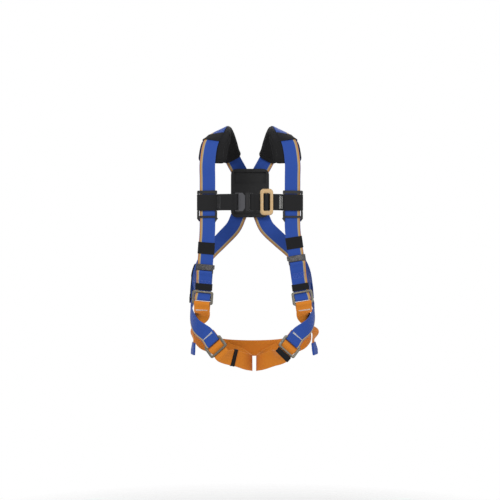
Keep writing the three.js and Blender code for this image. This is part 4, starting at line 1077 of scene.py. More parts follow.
def ring_shape(place, outer, inner, near, far, radius, segments=4):
    """A flat ring between two outlines with the same count of points. Its section is a rounded
    rectangle from the inner to the outer outline: share * width across, near to far in height."""
    half = (far - near) / 2
    a = np.linspace(0, np.pi / 2, segments + 1)
    width = np.linalg.norm(outer - inner, axis=1)[:, None]
    r = np.minimum(radius, np.minimum(half, width / 2) - 0.02)
    cos, sin = np.cos(a)[None] * r, np.sin(a)[None] * r
    across = np.concatenate([width - r + cos, (r - cos)[:, ::-1], r - cos, (width - r + cos)[:, ::-1]], 1)
    height = np.concatenate([half - r + sin, (half - r + sin)[:, ::-1], -(half - r + sin),
                             -(half - r + sin)[:, ::-1]], 1)
    share = across / width
    flat = inner[:, None] + share[..., None] * (outer - inner)[:, None]
    return tube_of(place(flat[..., 0], (near + far) / 2 + height, flat[..., 1]), None, True)


def bar_shape(place, x0, x1, near, far, low, high, radius, wave=0.0, count=2):
    """A bar across: a rounded rectangle in height and along, carried from x0 to x1. A wave lifts its
    upper edge by wave * cos of its place, five times over its length."""
    path, _ = rounded_loop(near, far, low, high, radius, 4, 2)
    x = np.linspace(x0, x1, count)[:, None]
    lift = wave * np.cos((x - x0) / (x1 - x0) * 10 * np.pi) * (path[None, :, 1] > (low + high) / 2)
    a, h, l = np.broadcast_arrays(x, path[None, :, 0], path[None, :, 1] + lift)
    return tube_of(place(a, h, l))


def smooth(x):
    """0 below 0, 1 above 1 and a cubic ease between."""
    x = np.clip(x, 0, 1)
    return x * x * (3 - 2 * x)


def quarter(d, radius):
    """The height of a quarter circle of that radius, at a distance in from its edge, over 1."""
    d = np.clip(d, 0, radius)
    return np.sqrt(np.maximum(0, 1 - ((radius - d) / radius) ** 2))


def cushion_shape(route, lo, hi, low, high, edge, relief, end=14.0, columns=46):
    """A stuffed slab along a route. Across it runs from lo to hi by a sine spacing; both faces
    close on the middle by a quarter circle at each edge, the corners by one of the end radius,
    and relief(u, v, inset) is added outwards to the upper and half of it to the lower face."""
    v = route["v"][:, None]
    length = route["v"][-1]
    to_end = np.minimum(v, length - v)
    pull = end * (1 - quarter(to_end, end))
    lo, hi = lo[:, None] + pull, hi[:, None] - pull
    q = np.sin(np.linspace(-1, 1, columns) * np.pi / 2)[None]
    u = (lo + hi) / 2 + (hi - lo) / 2 * q
    inset = np.minimum(np.minimum(u - lo, hi - u), to_end)
    round_ = quarter(np.minimum(u - lo, hi - u) + 0.02, edge) * np.maximum(0.2, quarter(to_end, edge))
    half = (high - low) / 2
    middle = low + half
    add = relief(u, v, inset)
    top = middle + (half + add) * round_
    base = middle - (half + add * 0.5) * round_
    across = np.concatenate([u, u[:, ::-1]], 1)
    height = np.concatenate([top, base[:, ::-1]], 1)
    uv = np.stack(np.broadcast_arrays(across, v), -1)
    return tube_of(swept(route, across, height), uv), np.stack([u[:, 0], u[:, -1]], -1)


def edge_loop(route, limits, height):
    """The closed line round a cushion: down one edge, across, back up the other and across."""
    at = lambda i, u: route["p"][i] + u[:, None] * route["w"][i] + height[i][:, None] * route["n"][i]
    count = len(route["v"])
    i = np.arange(count)
    share = np.linspace(0, 1, 7)[1:-1]
    last, first = np.full(5, count - 1), np.zeros(5, int)
    return np.concatenate([
        at(i, limits[:, 0]),
        at(last, limits[-1, 0] + share * (limits[-1, 1] - limits[-1, 0])),
        at(i[::-1], limits[::-1, 1]),
        at(first, limits[0, 1] + share * (limits[0, 0] - limits[0, 1])),
    ])


def piping_shape(line, radius, sides=10):
    """A round tape along a closed line: its rings turn with the line's own direction."""
    ahead, behind = np.roll(line, -1, 0), np.roll(line, 1, 0)
    t = unit(ahead - behind)
    side = unit(np.cross(t, unit(line - line.mean(0))))
    up = np.cross(side, t)
    a = np.linspace(0, 2 * np.pi, sides, endpoint=False)
    ring = np.cos(a)[None, :, None] * side[:, None] + np.sin(a)[None, :, None] * up[:, None]
    run = np.concatenate([[0], np.cumsum(np.linalg.norm(np.diff(line, axis=0), axis=1))])
    uv = np.stack(np.broadcast_arrays(radius * a[None], run[:, None]), -1)
    return tube_of(line[:, None] + radius * ring, uv, True)


def resampled(route, runs):
    """The route's sections at other distances along it."""
    p, w, n = section_at(route, runs)
    return {"p": p, "w": w, "n": n, "t": np.cross(w, n), "v": runs}


def eased_runs(length, count, ease=0.75):
    """Distances along a piece that crowd towards both of its ends."""
    s = np.linspace(0, 1, count)
    return length * (s - ease * np.sin(2 * np.pi * s) / (2 * np.pi))


def one_stitch(place, to, normal, radius=0.4):
    """A raised stitch from one place towards another, with a gap after it: places along it that
    rise over the cloth and sink at both ends, each with a ring round it."""
    along = to - place
    share = np.array([0.04, 0.25, 0.7, 0.9])
    size = np.array([0.5, 1.0, 1.0, 0.5]) * radius
    rise = np.array([-0.3, 0.25, 0.25, -0.3])
    middle = place + share[:, None] * along + rise[:, None] * normal
    side = unit(np.cross(unit(along), normal))
    a = np.linspace(0, 2 * np.pi, 6, endpoint=False)
    ring = np.cos(a)[:, None] * side + np.sin(a)[:, None] * normal
    return tube_of(middle[:, None] + size[:, None, None] * ring)


# ---------------------------------------------------------------- shoulder pads


def neck_reach(route):
    """How far a pad reaches towards the neck: as far as the neck's side, within its two limits."""
    to_neck = (np.abs(route["p"][:, 0]) - NECK) / np.abs(route["w"][:, 0])
    return np.clip(to_neck, WIDTH / 2 + PAD["least"], WIDTH / 2 + PAD["neck"])


def pad_route(side):
    """The stretch of the shoulder strap that a pad lies under."""
    route = shoulder_route(side)
    x = side["sign"] * SPACING / 2
    first = nearest(route, vec(x, -STRAP_Y, -TOP_DROP))
    last = nearest(route, vec(x / 2, PLATE_Y, -45))
    rough = part_of(route, first, last)
    return resampled(rough, eased_runs(rough["v"][-1], 150))


def towards_neck(sign, outer, neck):
    """Limits across a strap from its outer and neck edges; the neck is on +U for the left side."""
    return (-outer, neck) if sign > 0 else (-neck, outer)


def band_middle(route):
    """Where along the pad its band lies: at its level over the origin, in front."""
    front = route["p"][:, 1] < -20
    return float(route["v"][np.argmin(np.where(front, np.abs(route["p"][:, 2] - PAD_BAND["level"]), 1e6))])


def pad_limits(side, route):
    """The pad's two edges, across the strap, at each section of its route."""
    neck = neck_reach(route)
    return towards_neck(side["sign"], np.full_like(neck, WIDTH / 2 + PAD["outer"]), neck)


def pad_shape(side, settings):
    """The pad and the tape round it: a cushion under the strap that stands proud beside it, except
    under its band, with a stitched channel round its edge and slight folds where it bends."""
    route = pad_route(side)
    lo, hi = pad_limits(side, route)
    band = band_middle(route)
    crown, seam, thick = settings.crown / MM, settings.seam_inset / MM, settings.loft / MM
    bend = np.linalg.norm(np.gradient(route["t"], axis=0), axis=1)[:, None]
    bend = bend / bend.max()

    def relief(u, v, inset):
        """Proud beside the strap but not under the band, with folds by the bend, less the channel."""
        free = smooth((np.abs(u) - WIDTH / 2 - 0.4) / 5)
        held = np.exp(-(((v - band) / (PAD_BAND["length"] / 2 + 2)) ** 4))
        channel = np.exp(-(((inset - seam) / 1.5) ** 2))
        folds = np.sin(v / 2.9 + 1.3 * np.sin(u / 11)) * bend * 0.45
        loose = 0.35 * np.sin(v / 13 + 0.7 * u / 9) * np.sin(v / 29)
        return free * (1 - held) * (crown + folds + loose) - CHANNEL * channel * free - SUNK

    shape, limits = cushion_shape(route, lo, hi, -NEAR - thick, -NEAR, 4.6, relief)
    line = edge_loop(route, limits, np.full(len(route["v"]), -NEAR - thick / 2))
    return shape, piping_shape(line, settings.binding / MM)


def pad_seam(side, settings):
    """Stitches in the pad's channel, on the sides beside the strap and clear of the band."""
    route = pad_route(side)
    band, beside, inset = band_middle(route), WIDTH / 2, settings.seam_inset / MM
    shapes = []
    for edge, inwards in zip(pad_limits(side, route), (1, -1)):
        runs = np.arange(16.0, route["v"][-1] - 16.0, 4.0)
        u = np.interp(runs, route["v"], edge) + inwards * inset
        proud = np.where(np.abs(u) > beside + 3, 0.6 * settings.crown / MM, 0)
        places, n = surface_point(route, u, runs, -NEAR - SUNK - CHANNEL + 0.35 + proud)
        keep = (np.abs(u) > beside + 2) & (np.abs(runs - band) > PAD_BAND["length"] / 2 + 2.5)
        kept = np.flatnonzero(keep[:-1] & keep[1:])
        shapes += [one_stitch(places[k], places[k + 1], n[k]) for k in kept]
    return shapes


def band_shape(side):
    """The band over strap and pad: a woven strip whose middle line rises over the strap and lies
    on the pad beside it, folded down over the pad's outer edge."""
    route = pad_route(side)
    middle = band_middle(route)
    neck = float(np.interp(middle, route["v"], neck_reach(route))) - 2.0
    outer, over, on_pad = WIDTH / 2 + PAD["outer"] + 1.3, NEAR + PAD_BAND["wall"] / 2, -HALF + 0.5
    rows = [(outer + 0.3, -9), (outer + 0.7, -4.5), (outer - 0.3, -1.2), (outer - 3.0, on_pad),
            (25.0, on_pad + 0.9), (23.2, over - 0.5), (21.0, over), (8, over + 0.25),
            (-8, over + 0.25), (-21.0, over), (-23.2, over - 0.5), (-25.0, on_pad + 0.9)]
    if neck > 29:
        rows += [(-28.0, on_pad), (-neck, on_pad - 0.4)]
    rows = np.array(rows)
    rows[:, 0] *= -side["sign"]
    spans = np.repeat(np.arange(len(rows) - 1), 5)
    shares = np.tile(np.arange(5) / 5, len(rows) - 1)
    path = centripetal(rows, np.append(spans, len(rows) - 2), np.append(shares, 1.0))
    t = unit(np.gradient(path, axis=0))
    normals = np.stack([-t[:, 1], t[:, 0]], -1)
    if normals[len(path) // 2, 1] < 0:
        normals = -normals
    offset, along = hemmed_profile(1.3, PAD_BAND["length"], 0.25, 16)
    return loop_shape(along_route(route, middle), path, normals, offset, along, False, 0.5)


# ---------------------------------------------------------------- pouch and tail tips


def pouch_route():
    """The stretch of the back strap, at the right hip, that the pouch lies on."""
    route = shoulder_route(SIDES["left"])
    x, z = route["p"][:, 0], route["p"][:, 2] - HIP
    numbers = np.flatnonzero((x < 0) & (z < POUCH["top"]) & (z > POUCH["foot"]))
    rough = part_of(route, numbers[0], numbers[-1])
    return resampled(rough, eased_runs(rough["v"][-1], 70, 0.6))


def pouch_shapes():
    """The pouch: a crowned flat bag along the strap, a thin flap over its upper part and a taped
    edge round both."""
    route = pouch_route()
    wide = np.full(len(route["v"]), WIDTH / 2 - 0.6)
    low = HALF + CLEAR + 0.05
    crown = lambda u, v, inset: 0.7 * smooth(inset / 9) - 0.5 * np.exp(-(((inset - 3.4) / 0.9) ** 2))
    bag, limits = cushion_shape(route, -wide, wide, low, low + POUCH["thick"] - 0.8, 1.4, crown, 4.0, 34)
    line = edge_loop(route, limits, np.full(len(wide), low + 1.6))
    length = route["v"][-1]
    top = resampled(route, eased_runs(length * 0.42, 40, 0.6))
    flap_wide = np.full(40, WIDTH / 2 - 1.8)
    over = low + POUCH["thick"] - 0.35
    sag = lambda u, v, inset: 0.35 * smooth(inset / 6) - 0.3 * np.exp(-(((inset - 2.4) / 0.7) ** 2))
    flap, _ = cushion_shape(top, -flap_wide, flap_wide, over - 0.1, over + 1.0, 0.6, sag, 5.0, 30)
    return bag, flap, piping_shape(line, 1.35, 8)


def tip_shape(side):
    """The sleeve on a tail: a flat sock that runs from its closed inside, up to a hemmed mouth and
    back down its outside, with a rounded closed end."""
    route = tail_route(side)
    run = route["v"][-1]
    past = {k: np.vstack([a, a[-1:]]) for k, a in route.items() if k != "v"}
    past["p"][-1] = route["p"][-1] + route["t"][-1] * 6
    past["v"] = np.append(route["v"], run + 6)
    z = route["p"][:, 2]
    mouth = float(route["v"][np.argmax(z < HIP - TAIL["foot"] + TAIL["tip"])])
    wall, gap = TAIL["wall"], CLEAR
    rows = [(run + gap, -0.2, 0), (run + gap - 1, 0.0, 0), (mouth + 2, 0.0, 0), (mouth, 0.1, 0),
            (mouth - 0.2, wall / 2, 0), (mouth, wall, 0.15), (mouth + 1.4, wall, 0.3),
            (mouth + 3.0, wall, 0.3), (mouth + 4.2, wall, 0), (run - 12, wall, 0), (run, wall, 0),
            (run + 0.9, wall - 0.2, 0), (run + 1.5, wall - 0.9, -0.2)]
    v, grow, hem = (np.array(c, float) for c in zip(*rows))
    half_w, half_t = TAIL["width"] / 2 + gap, HALF + gap
    path, out = rounded_loop(-half_w, half_w, -half_t, half_t, half_t - 0.02, 6, 14)
    a = path[None, :, 0] + (grow + hem)[:, None] * out[None, :, 0]
    h = path[None, :, 1] + (grow + hem)[:, None] * out[None, :, 1]
    uv = np.stack(np.broadcast_arrays(path[None, :, 0], v[:, None]), -1)
    return tube_of(swept(resampled(past, v), a, h), uv)


# ---------------------------------------------------------------- operators


def side_items():
    """Each side's name, sizes and sign, the right one first."""
    return [(name, side, side["sign"]) for name, side in SIDES.items()]


def bevelled(node, look, width):
    """A CAD node kept as it is, with a worn finish and its edges rounded by live modifiers."""
    piece = frame["nodes"][node]
    weld = piece.modifiers.new("weld", "WELD")
    weld.merge_threshold = 2e-5
    bevel = piece.modifiers.new("edges", "BEVEL")
    bevel.width = width
    bevel.segments = 2
    bevel.limit_method = "ANGLE"
    bevel.angle_limit = math.radians(32)
    bevel.use_clamp_overlap = True
    for slot in piece.material_slots:
        slot.material = look
    return piece


class MESH_OT_harness_looks(bpy.types.Operator):
    """Make the webbing, cloth, plastic and metal finishes."""

    bl_idname = "mesh.harness_looks"
    bl_label = "Finishes"

    def execute(self, context):
        prepare_looks(context.scene)
        return {"FINISHED"}


class MESH_OT_harness_blue_straps(bpy.types.Operator):
    """Carry the webbing outline along the shoulder, hip and leg routes."""

    bl_idname = "mesh.harness_blue_straps"
    bl_label = "Blue straps"

    def execute(self, context):
        for name, side, sign in side_items():
            for node, make, look, flip in (
                ("shoulder", shoulder_route, "blue", -sign),
                ("hip", hip_route, "blue", sign),
                ("leg", leg_route, "blue_leg", sign),
            ):
                shape = webbing_shape(make(side), flip=flip)
                add_piece(f"{node}_strap_{name}", shape, look, sharp=60)
        return {"FINISHED"}


class MESH_OT_harness_orange_straps(bpy.types.Operator):
    """Carry the webbing outline along the seat, thigh and tail routes."""

    bl_idname = "mesh.harness_orange_straps"
    bl_label = "Orange straps and tails"

    def execute(self, context):
        add_piece("seat_strap", webbing_shape(seat_route()), "orange", sharp=60)
        for name, side, _ in side_items():
            tail = webbing_shape(tail_route(side), TAIL["width"])
            for node, shape in (("thigh_strap", webbing_shape(thigh_route(side))), ("strap_tail", tail)):
                add_piece(f"{node}_{name}", shape, "orange", sharp=60)
        return {"FINISHED"}


class MESH_OT_harness_chest_straps(bpy.types.Operator):
    """Carry the webbing outline along both halves of the chest strap."""

    bl_idname = "mesh.harness_chest_straps"
    bl_label = "Chest straps"

    def execute(self, context):
        for name, side, _ in side_items():
            add_piece(f"chest_strap_{name}", webbing_shape(chest_route(side)), "black",
                      "chest_band", sharp=60)
        return {"FINISHED"}


class MESH_OT_harness_pads(bpy.types.Operator):
    """Build both shoulder pads, their taped edges, seams and the bands over them."""

    bl_idname = "mesh.harness_pads"
    bl_label = "Shoulder pads"

    def execute(self, context):
        settings = context.scene.harness_pads
        for name, side, _ in side_items():
            body, tape = pad_shape(side, settings)
            pad = add_piece(f"shoulder_pad_{name}", body, "pad")
            add_piece(f"pad_piping_{name}", tape, "binding", instead=False)
            add_stitches(f"pad_seam_{name}", pad_seam(side, settings), "dark_thread")
            add_piece(f"pad_band_{name}", band_shape(side), "elastic")
        return {"FINISHED"}


class MESH_OT_harness_keepers(bpy.types.Operator):
    """Build the six elastic loops that hold the doubled straps together."""

    bl_idname = "mesh.harness_keepers"
    bl_label = "Elastic keepers"

    def execute(self, context):
        for name, side, sign in side_items():
            thigh = thigh_route(side)
            middle = thigh["v"][nearest(thigh, np.mean(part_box(f"thigh_keeper_{name}"), 0) / MM)]
            rise = HIP_FRAME["height"] / 2 + KEEPER["lower"] / 2 + 2
            upper = in_place(lower_frame(sign, side["keeper"]))
            lower = in_place(shifted(lower_frame(sign, 0), 0, 0, rise))
            for node, place, deep, body in (
                ("upper", upper, HALF, f"upper_keeper_{name}"),
                ("lower", lower, HALF + LAYER, "webbing"),
                ("thigh", along_route(thigh, middle), HALF, "webbing"),
            ):
                shape = keeper_shape(place, KEEPER[node], deep)
                add_piece(f"{node}_keeper_{name}", shape, "elastic", body)
        return {"FINISHED"}


class MESH_OT_harness_tips(bpy.types.Operator):
    """Build the blue sleeves on the strap tails, with their hemmed mouths."""

    bl_idname = "mesh.harness_tips"
    bl_label = "Tail tips"

    def execute(self, context):
        for name, side, _ in side_items():
            add_piece(f"tail_tip_{name}", tip_shape(side), "blue_sleeve")
        return {"FINISHED"}


class MESH_OT_harness_pouch(bpy.types.Operator):
    """Build the document pouch on the back strap: bag, flap and taped edge."""

    bl_idname = "mesh.harness_pouch"
    bl_label = "Pouch"

    def execute(self, context):
        bag, flap, tape = pouch_shapes()
        add_piece("label_pouch", bag, "pouch")
        add_piece("pouch_flap", flap, "pouch", instead=False)
        add_piece("pouch_tape", tape, "binding", instead=False)
        bevelled("lanyard_clip", LOOKS["black_plastic"], context.scene.harness_hardware.edge)
        return {"FINISHED"}


def plate_outline(wide, height, radius, inside, inner_height, inner_radius):
    """Outer and inner rounded rectangles with the same count of points."""
    outer, _ = rounded_loop(-wide / 2, wide / 2, -height / 2, height / 2, radius, 8, 8)
    inner, _ = rounded_loop(-inside / 2, inside / 2, -inner_height / 2, inner_height / 2, inner_radius, 8, 8)
    return outer, inner


def frame_shapes(place, size):
    """A rectangular frame round one strap; with a middle bar it also has a ribbed upper lip."""
    window, height, far = WIDTH + 1.6, size["height"], NEAR + size["plate"]
    inner_height = height - 2 * size["outer"]
    outlines = plate_outline(window + 2 * size["side"] - 0.8, height, 6, window, inner_height, 2.5)
    shapes = [ring_shape(place, *outlines, NEAR, far, 1.7)]
    if "middle" in size:
        half, drop = size["middle"] / 2, size["drop"]
        end, lip = window / 2 + 2, window / 2 - 1
        shapes.append(bar_shape(place, -end, end, NEAR, far, -drop - half, half - drop, 1.5))
        shapes.append(bar_shape(place, -lip, lip, NEAR + 0.5, far - 0.5, height / 2 - 4.5, height / 2 - 0.2,
                                1.0, 0.8, 60))
    return shapes


class MESH_OT_harness_frames(bpy.types.Operator):
    """Build the hip frames, leg buckles and torso adjusters."""

    bl_idname = "mesh.harness_frames"
    bl_label = "Frames and leg buckles"

    def execute(self, context):
        edge = context.scene.harness_hardware.edge
        for name, _, sign in side_items():
            for node, f, size in (("hip_frame", lower_frame(sign, 0), HIP_FRAME),
                                  ("leg_buckle", buckle_frame(sign), LEG_BUCKLE)):
                add_metal(f"{node}_{name}", frame_shapes(in_place(f), size), "steel")
            bevelled(f"leg_buckle_bar_{name}", LOOKS["steel"], edge)
            bevelled(f"adjuster_frame_{name}", LOOKS["dark_steel"], edge)
            bevelled(f"adjuster_bar_{name}", LOOKS["steel"], edge)
        return {"FINISHED"}


class MESH_OT_harness_chest_hardware(bpy.types.Operator):
    """Build the chest frame and finish the chest buckle and the carriages."""

    bl_idname = "mesh.harness_chest_hardware"
    bl_label = "Chest buckle, frame and carriages"

    def execute(self, context):
        edge = context.scene.harness_hardware.edge
        size, f, opening = CHEST_FRAME, chest_frame_at(CHEST_FRAME["x"]), WIDTH + 2
        outlines = plate_outline(size["width"], opening + 2 * size["rim"], 10, size["window"], opening, 3)
        end, half = opening / 2 + 1, size["bar"] / 2
        bar = bar_shape(in_place(turned(f)), -end, end, NEAR, NEAR + size["bar_plate"], -half, half, 0.9)
        rim = ring_shape(in_place(f), *outlines, NEAR, NEAR + size["plate"], 2.2)
        add_metal("chest_frame", [rim, bar], "gold", "chest_band")
        bevelled("chest_buckle_plug", LOOKS["grey_plastic"], edge)
        ribs = join_shapes(plug_ribs())
        add_piece("plug_grip", ribs, "grey_plastic", "chest_band", False, 35)
        bevelled("chest_buckle_socket", LOOKS["black_plastic"], edge)
        for name in SIDES:
            bevelled(f"carriage_{name}", LOOKS["black_plastic"], edge)
        return {"FINISHED"}


def plug_ribs(front=4.0, proud=0.55, reach=18.0):
    """Grip ribs up the plug's front: bars along Z, side by side behind its pointed nose."""
    f = turned(shifted(chest_frame_at(SEAM, -LAYER / 2), -PLUG_LENGTH / 2, 0, 0))
    return [bar_shape(in_place(f), -reach, reach, front - 0.3, front + proud, x - 0.55, x + 0.55, 0.35)
            for x in (3.5, 1.2, -1.1)]


def turned(f):
    """The same local frame with its X and Z swapped, so that a bar across runs along it."""
    return {"o": f["o"], "x": f["z"], "y": f["y"], "z": -f["x"]}


def bezier(p0, p1, p2, p3, count):
    """A cubic Bezier curve's places."""
    t = np.linspace(0, 1, count)[:, None]
    p0, p1, p2, p3 = (np.array(p, float) for p in (p0, p1, p2, p3))
    return (1 - t) ** 3 * p0 + 3 * (1 - t) ** 2 * t * p1 + 3 * (1 - t) * t * t * p2 + t**3 * p3


def ring_outline(wide, top, foot, level, low, lower_x, corner):
    """A D: straight top with rounded corners, short straight sides and a Bezier bow, closed."""
    turn = np.linspace(np.pi / 2, np.pi, 7)[:, None]
    at_corner = np.array([corner - wide, top - corner]) + corner * np.hstack([np.cos(turn), np.sin(turn)])
    straight = np.linspace([-wide, top - corner], [-wide, foot], 5)[1:]
    bow = bezier((-wide, foot), (-wide, level), (-lower_x, low), (0, low), 26)[1:]
    left = np.vstack([at_corner, straight, bow])
    right = left[::-1][1:] * [-1, 1]
    across = np.linspace(right[-1], left[0], 12)[1:-1]
    return np.vstack([left, right, across])


class MESH_OT_harness_back_ring(bpy.types.Operator):
    """Build the forged back ring and finish the plate that it swings in."""

    bl_idname = "mesh.harness_back_ring"
    bl_label = "Back ring and plate"

    def execute(self, context):
        wire, inner, reach = RING["wire"], RING["inner"], RING["reach"]
        centre = vec(0, PLATE_Y - wire / 2 - 1.2, -RING["drop"])
        tilt = math.radians(RING["tilt"])
        up = vec(0, -math.sin(tilt), math.cos(tilt))
        f = frame_at(centre, up, vec(0, math.cos(tilt), math.sin(tilt)))
        outer = ring_outline(inner + wire, wire / 2, -14, -48, -reach - RING["tip"], 28, 3.5)
        hole = ring_outline(inner, -wire / 2, -14, -42, -reach, 22, 1.2)
        ring = ring_shape(in_place(f), outer, hole, -wire / 2, wire / 2, 3.6, 5)
        add_metal("d_ring", [ring], "steel", "ring")
        bevelled("ring_plate", LOOKS["black_plastic"], context.scene.harness_hardware.edge * 1.5)
        return {"FINISHED"}


def face_towards(route, run, want):
    """+1 or -1: the face of the strap that looks the wanted way at that distance along it."""
    _, _, n = section_at(route, np.array([run]))
    return 1.0 if float(n[0] @ want) > 0 else -1.0


def run_near(route, place, first=0.0, last=1e9):
    """The distance along a route of the section nearest to a place, within limits."""
    inside = (route["v"] >= first) & (route["v"] <= last)
    far = np.where(inside, np.linalg.norm(route["p"] - place, axis=1), 1e9)
    return float(route["v"][np.argmin(far)])


def block_seam(route, v0, v1, half_u, want):
    """A boxed zigzag between two distances, on the face of the strap that looks the wanted way."""
    return thread_shape(route, sewn_block(v0, v1, half_u), face_towards(route, (v0 + v1) / 2, want))


def bar_seam(route, run, want, wide, turns, half_u=17.0, radius=0.5):
    """A zigzag bar across a strap, on the face that looks the wanted way."""
    ends = zigzag_ends(-half_u, run, half_u, run, wide, turns)
    return thread_shape(route, ends, face_towards(route, run, want), radius)


def hip_seams(side):
    """A block on the hip strap's first end, and one on its fold under the adjuster."""
    sign, route = side["sign"], hip_route(side)
    fold = in_frame(lower_frame(sign, side["adjuster"]), 0, 0, -ADJUSTER["height"] / 2 - 20)
    top = run_near(route, fold, route["v"][-1] * 0.35)
    return [block_seam(route, v, v + 14.0, 17.0, front_outward(sign)) for v in (2.0, top)]


def leg_seams(side):
    """A bar across the leg strap, where its end is folded back over the buckle."""
    route, f = leg_route(side), buckle_frame(side["sign"])
    fold = in_frame(f, 0, LAYER, LEG_BUCKLE["height"] / 2 + 17)
    return [bar_seam(route, run_near(route, fold, 0, route["v"][-1] - 45), -f["y"], 4.2, 26)]


def seat_seams():
    """On each end of the seat strap a bar under the hip frame, and a block below that."""
    route = seat_route()
    half = route["v"][-1] / 2
    bars, blocks = [], []
    for _, _, sign in side_items():
        edge = in_frame(lower_frame(sign, 0), 0, LAYER + HIP_FRAME["plate"], -HIP_FRAME["height"] / 2)
        run = run_near(route, edge, *((0, half) if sign < 0 else (half, 2 * half))) - sign * 16.5
        bars.append(bar_seam(route, run, front_outward(sign), 4.0, 26))
        v0, v1 = sorted((run - sign * 4, run - sign * 13))
        blocks.append(block_seam(route, v0, v1, 18.0, front_outward(sign)))
    return bars, blocks


def chest_seams(side, radius):
    """Two bars across the chest strap beside its carriage."""
    route = chest_route(side)
    runs = [run_near(route, chest_station(side["sign"] * x)[0], 25, route["v"][-1] - 60) for x in CHEST_BARS]
    return [bar_seam(route, run, vec(0, -1, 0), 5.5, 16, 17.5, radius) for run in runs]


class MESH_OT_harness_stitching(bpy.types.Operator):
    """Sew the ends of the straps, with boxed zigzags and with zigzag bars."""

    bl_idname = "mesh.harness_stitching"
    bl_label = "Stitching"

    def execute(self, context):
        for name, side, sign in side_items():
            aside, behind = vec(sign, 0, 0), vec(0, 1, -0.3)
            for seam, shapes, thread, slot in (
                ("hip_seam", hip_seams(side), "blue", "blue"),
                ("leg_seam", leg_seams(side), "white", "blue"),
                ("leg_top_seam", [block_seam(leg_route(side), 4.0, 26.0, 17.5, aside)], "blue", "blue"),
                ("thigh_seam", [block_seam(thigh_route(side), 4.0, 24.0, 17.5, behind)], "orange", "orange"),
                ("tail_seam", [block_seam(tail_route(side), 3.0, 20.0, 15.0, aside)], "orange", "orange"),
            ):
                add_stitches(f"{seam}_{name}", shapes, f"{thread}_thread")
        bars, blocks = seat_seams()
        add_stitches("seat_bar_stitch", bars, "white_thread")
        add_stitches("seat_seam", blocks, "orange_thread")
        for name, thread, radius in (("left", "white_thread", 0.5), ("right", "dark_thread", 0.42)):
            shapes = chest_seams(SIDES[name], radius)
            add_stitches(f"chest_seam_{name}", shapes, thread, "chest_band")
        return {"FINISHED"}


class MESH_OT_harness_stage(bpy.types.Operator):
    """Lay the pale floor and set the camera, the lamps and the even light."""

    bl_idname = "mesh.harness_stage"
    bl_label = "Stage, camera and lights"

    def execute(self, context):
        scene, s = context.scene, context.scene.harness_stage
        scene.view_settings.view_transform = "Standard"
        pale_world(scene, s.ambient)
        pale_floor(s.floor)
        add_camera(scene, s)
        area_lamp("key_lamp", s.key, 1.6, (-1.3, -3.0, 1.5))
        area_lamp("fill_lamp", s.fill, 1.8, (2.2, -2.2, 0.2))
        area_lamp("back_lamp", s.fill, 1.8, (0.4, 3.0, 1.2))
        return {"FINISHED"}


def pale_world(scene, ambient):
    """White where the camera, a gloss or a clear surface sees it, and an even light elsewhere."""
    world = bpy.data.worlds.new("pale_world")
    world.use_nodes = True
    nodes, links = world.node_tree.nodes, world.node_tree.links
    back = nodes["Background"]
    seen = nodes.new("ShaderNodeLightPath").outputs
    shine = nodes.new("ShaderNodeMath")
    shine.operation = "MAXIMUM"
    links.new(seen["Is Glossy Ray"], shine.inputs[0])
    links.new(seen["Is Transmission Ray"], shine.inputs[1])
    any_seen = nodes.new("ShaderNodeMath")
    any_seen.operation = "MAXIMUM"
    links.new(seen["Is Camera Ray"], any_seen.inputs[0])
    links.new(shine.outputs[0], any_seen.inputs[1])
    level = nodes.new("ShaderNodeMapRange")
    level.inputs[3].default_value = ambient
    level.inputs[4].default_value = 1.0
    links.new(any_seen.outputs[0], level.inputs[0])
    links.new(level.outputs[0], back.inputs["Strength"])
    back.inputs["Color"].default_value = (1, 1, 1, 1)
    scene.world = world


def pale_floor(height):
    """A round floor whose places are a radius times the cosine and sine of an angle; it fades
    away towards its rim by its own radius."""
    radius, rings, spokes = 2.4, 12, 72
    a = np.linspace(0, 2 * np.pi, spokes, endpoint=False)
    r = np.linspace(0.02, radius, rings)
    verts = np.stack([r[:, None] * np.cos(a), r[:, None] * np.sin(a), np.full((rings, spokes), height)], -1)
    faces = grid_faces(rings, spokes)
    mesh = bpy.data.meshes.new("pale_floor")
    mesh.from_pydata(verts.reshape(-1, 3).tolist(), [], [*faces[:, ::-1].tolist(), list(range(spokes))])
    floor = bpy.data.objects.new("pale_floor", mesh)
    bpy.context.scene.collection.objects.link(floor)
    look = Look("pale_floor", 0.9)
    place = look.object_place()
    xyz = look.node("ShaderNodeSeparateXYZ", {0: place}).outputs
    squares = [look.math("POWER", axis, 2.0) for axis in (xyz[0], xyz[1])]
    far = look.math("SQRT", look.math("ADD", *squares))
    share = look.node("ShaderNodeMapRange", {0: far, 1: 0.5, 2: radius / 2, 3: 1.0, 4: 0.0}).outputs[0]
    speck = look.noise(place, 14.0, 5.0)
    base = look.mix(speck, linear((0.93,) * 3), linear((0.96,) * 3))
    look.set(look.shader, {"Alpha": share, "Base Color": base})
    mesh.materials.append(look.material)
    floor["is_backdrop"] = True


def add_camera(scene, s):
    """A level camera in front; its lens makes the view as wide as asked at the front straps."""
    data = bpy.data.cameras.new("front_camera")
    data.sensor_width = 36.0
    data.lens = data.sensor_width * (s.distance - STRAP_Y * MM) / s.view_width
    camera = bpy.data.objects.new("front_camera", data)
    camera.location = (0.0, -s.distance, s.view_height)
    camera.rotation_euler = (math.pi / 2, 0, 0)
    scene.collection.objects.link(camera)
    scene.camera = camera


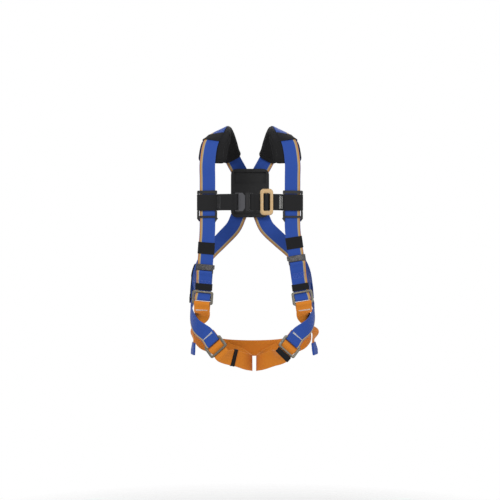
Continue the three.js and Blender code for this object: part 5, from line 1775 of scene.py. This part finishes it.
def area_lamp(name, power, size, place, target=(0, 0, -0.3)):
    """A round lamp that looks at its target."""
    data = bpy.data.lights.new(name, "AREA")
    data.shape = "DISK"
    data.size = size
    data.energy = power
    lamp = bpy.data.objects.new(name, data)
    away = vec(*place) - vec(*target)
    lamp.location = place
    lamp.rotation_euler = Vector(away).to_track_quat("Z", "Y").to_euler()
    bpy.context.scene.collection.objects.link(lamp)


class VIEW3D_PT_harness(bpy.types.Panel):
    """The harness's settings and the operators that build it, in order."""

    bl_label = "Safety harness"
    bl_space_type = "VIEW_3D"
    bl_region_type = "UI"
    bl_category = "Harness"

    def draw(self, context):
        layout = self.layout
        for name in SETTINGS:
            box = layout.box()
            group = getattr(context.scene, name)
            for key in group.__annotations__:
                box.prop(group, key)
        for operator in OPERATORS:
            layout.operator(operator.bl_idname)


SETTINGS = {
    "harness_webbing": HarnessWebbingSettings,
    "harness_pads": HarnessPadSettings,
    "harness_hardware": HarnessHardwareSettings,
    "harness_stage": HarnessStageSettings,
}
OPERATORS = (
    MESH_OT_harness_looks,
    MESH_OT_harness_blue_straps,
    MESH_OT_harness_orange_straps,
    MESH_OT_harness_chest_straps,
    MESH_OT_harness_pads,
    MESH_OT_harness_keepers,
    MESH_OT_harness_tips,
    MESH_OT_harness_pouch,
    MESH_OT_harness_frames,
    MESH_OT_harness_chest_hardware,
    MESH_OT_harness_back_ring,
    MESH_OT_harness_stitching,
    MESH_OT_harness_stage,
)
CLASSES = (*SETTINGS.values(), *OPERATORS, VIEW3D_PT_harness)


def register():
    """Registers the classes and gives the scene its settings."""
    for each in CLASSES:
        bpy.utils.register_class(each)
    for name, group in SETTINGS.items():
        setattr(bpy.types.Scene, name, bpy.props.PointerProperty(type=group))


def unregister():
    """Takes the settings and the classes away again."""
    for name in SETTINGS:
        delattr(bpy.types.Scene, name)
    for each in reversed(CLASSES):
        bpy.utils.unregister_class(each)


def main():
    """Registers the add-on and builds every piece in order."""
    register()
    for spare in [o for o in bpy.data.objects if o.name in ("Cube", "Light", "Camera")]:
        bpy.data.objects.remove(spare)
    for operator in OPERATORS:
        group, name = operator.bl_idname.split(".")
        getattr(getattr(bpy.ops, group), name)()
    plain = lambda box: [list(map(float, corner)) for corner in box]
    {"cad": plain(CAD_BOX), "visual": plain(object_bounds())}


if __name__ == "__main__":
    main()
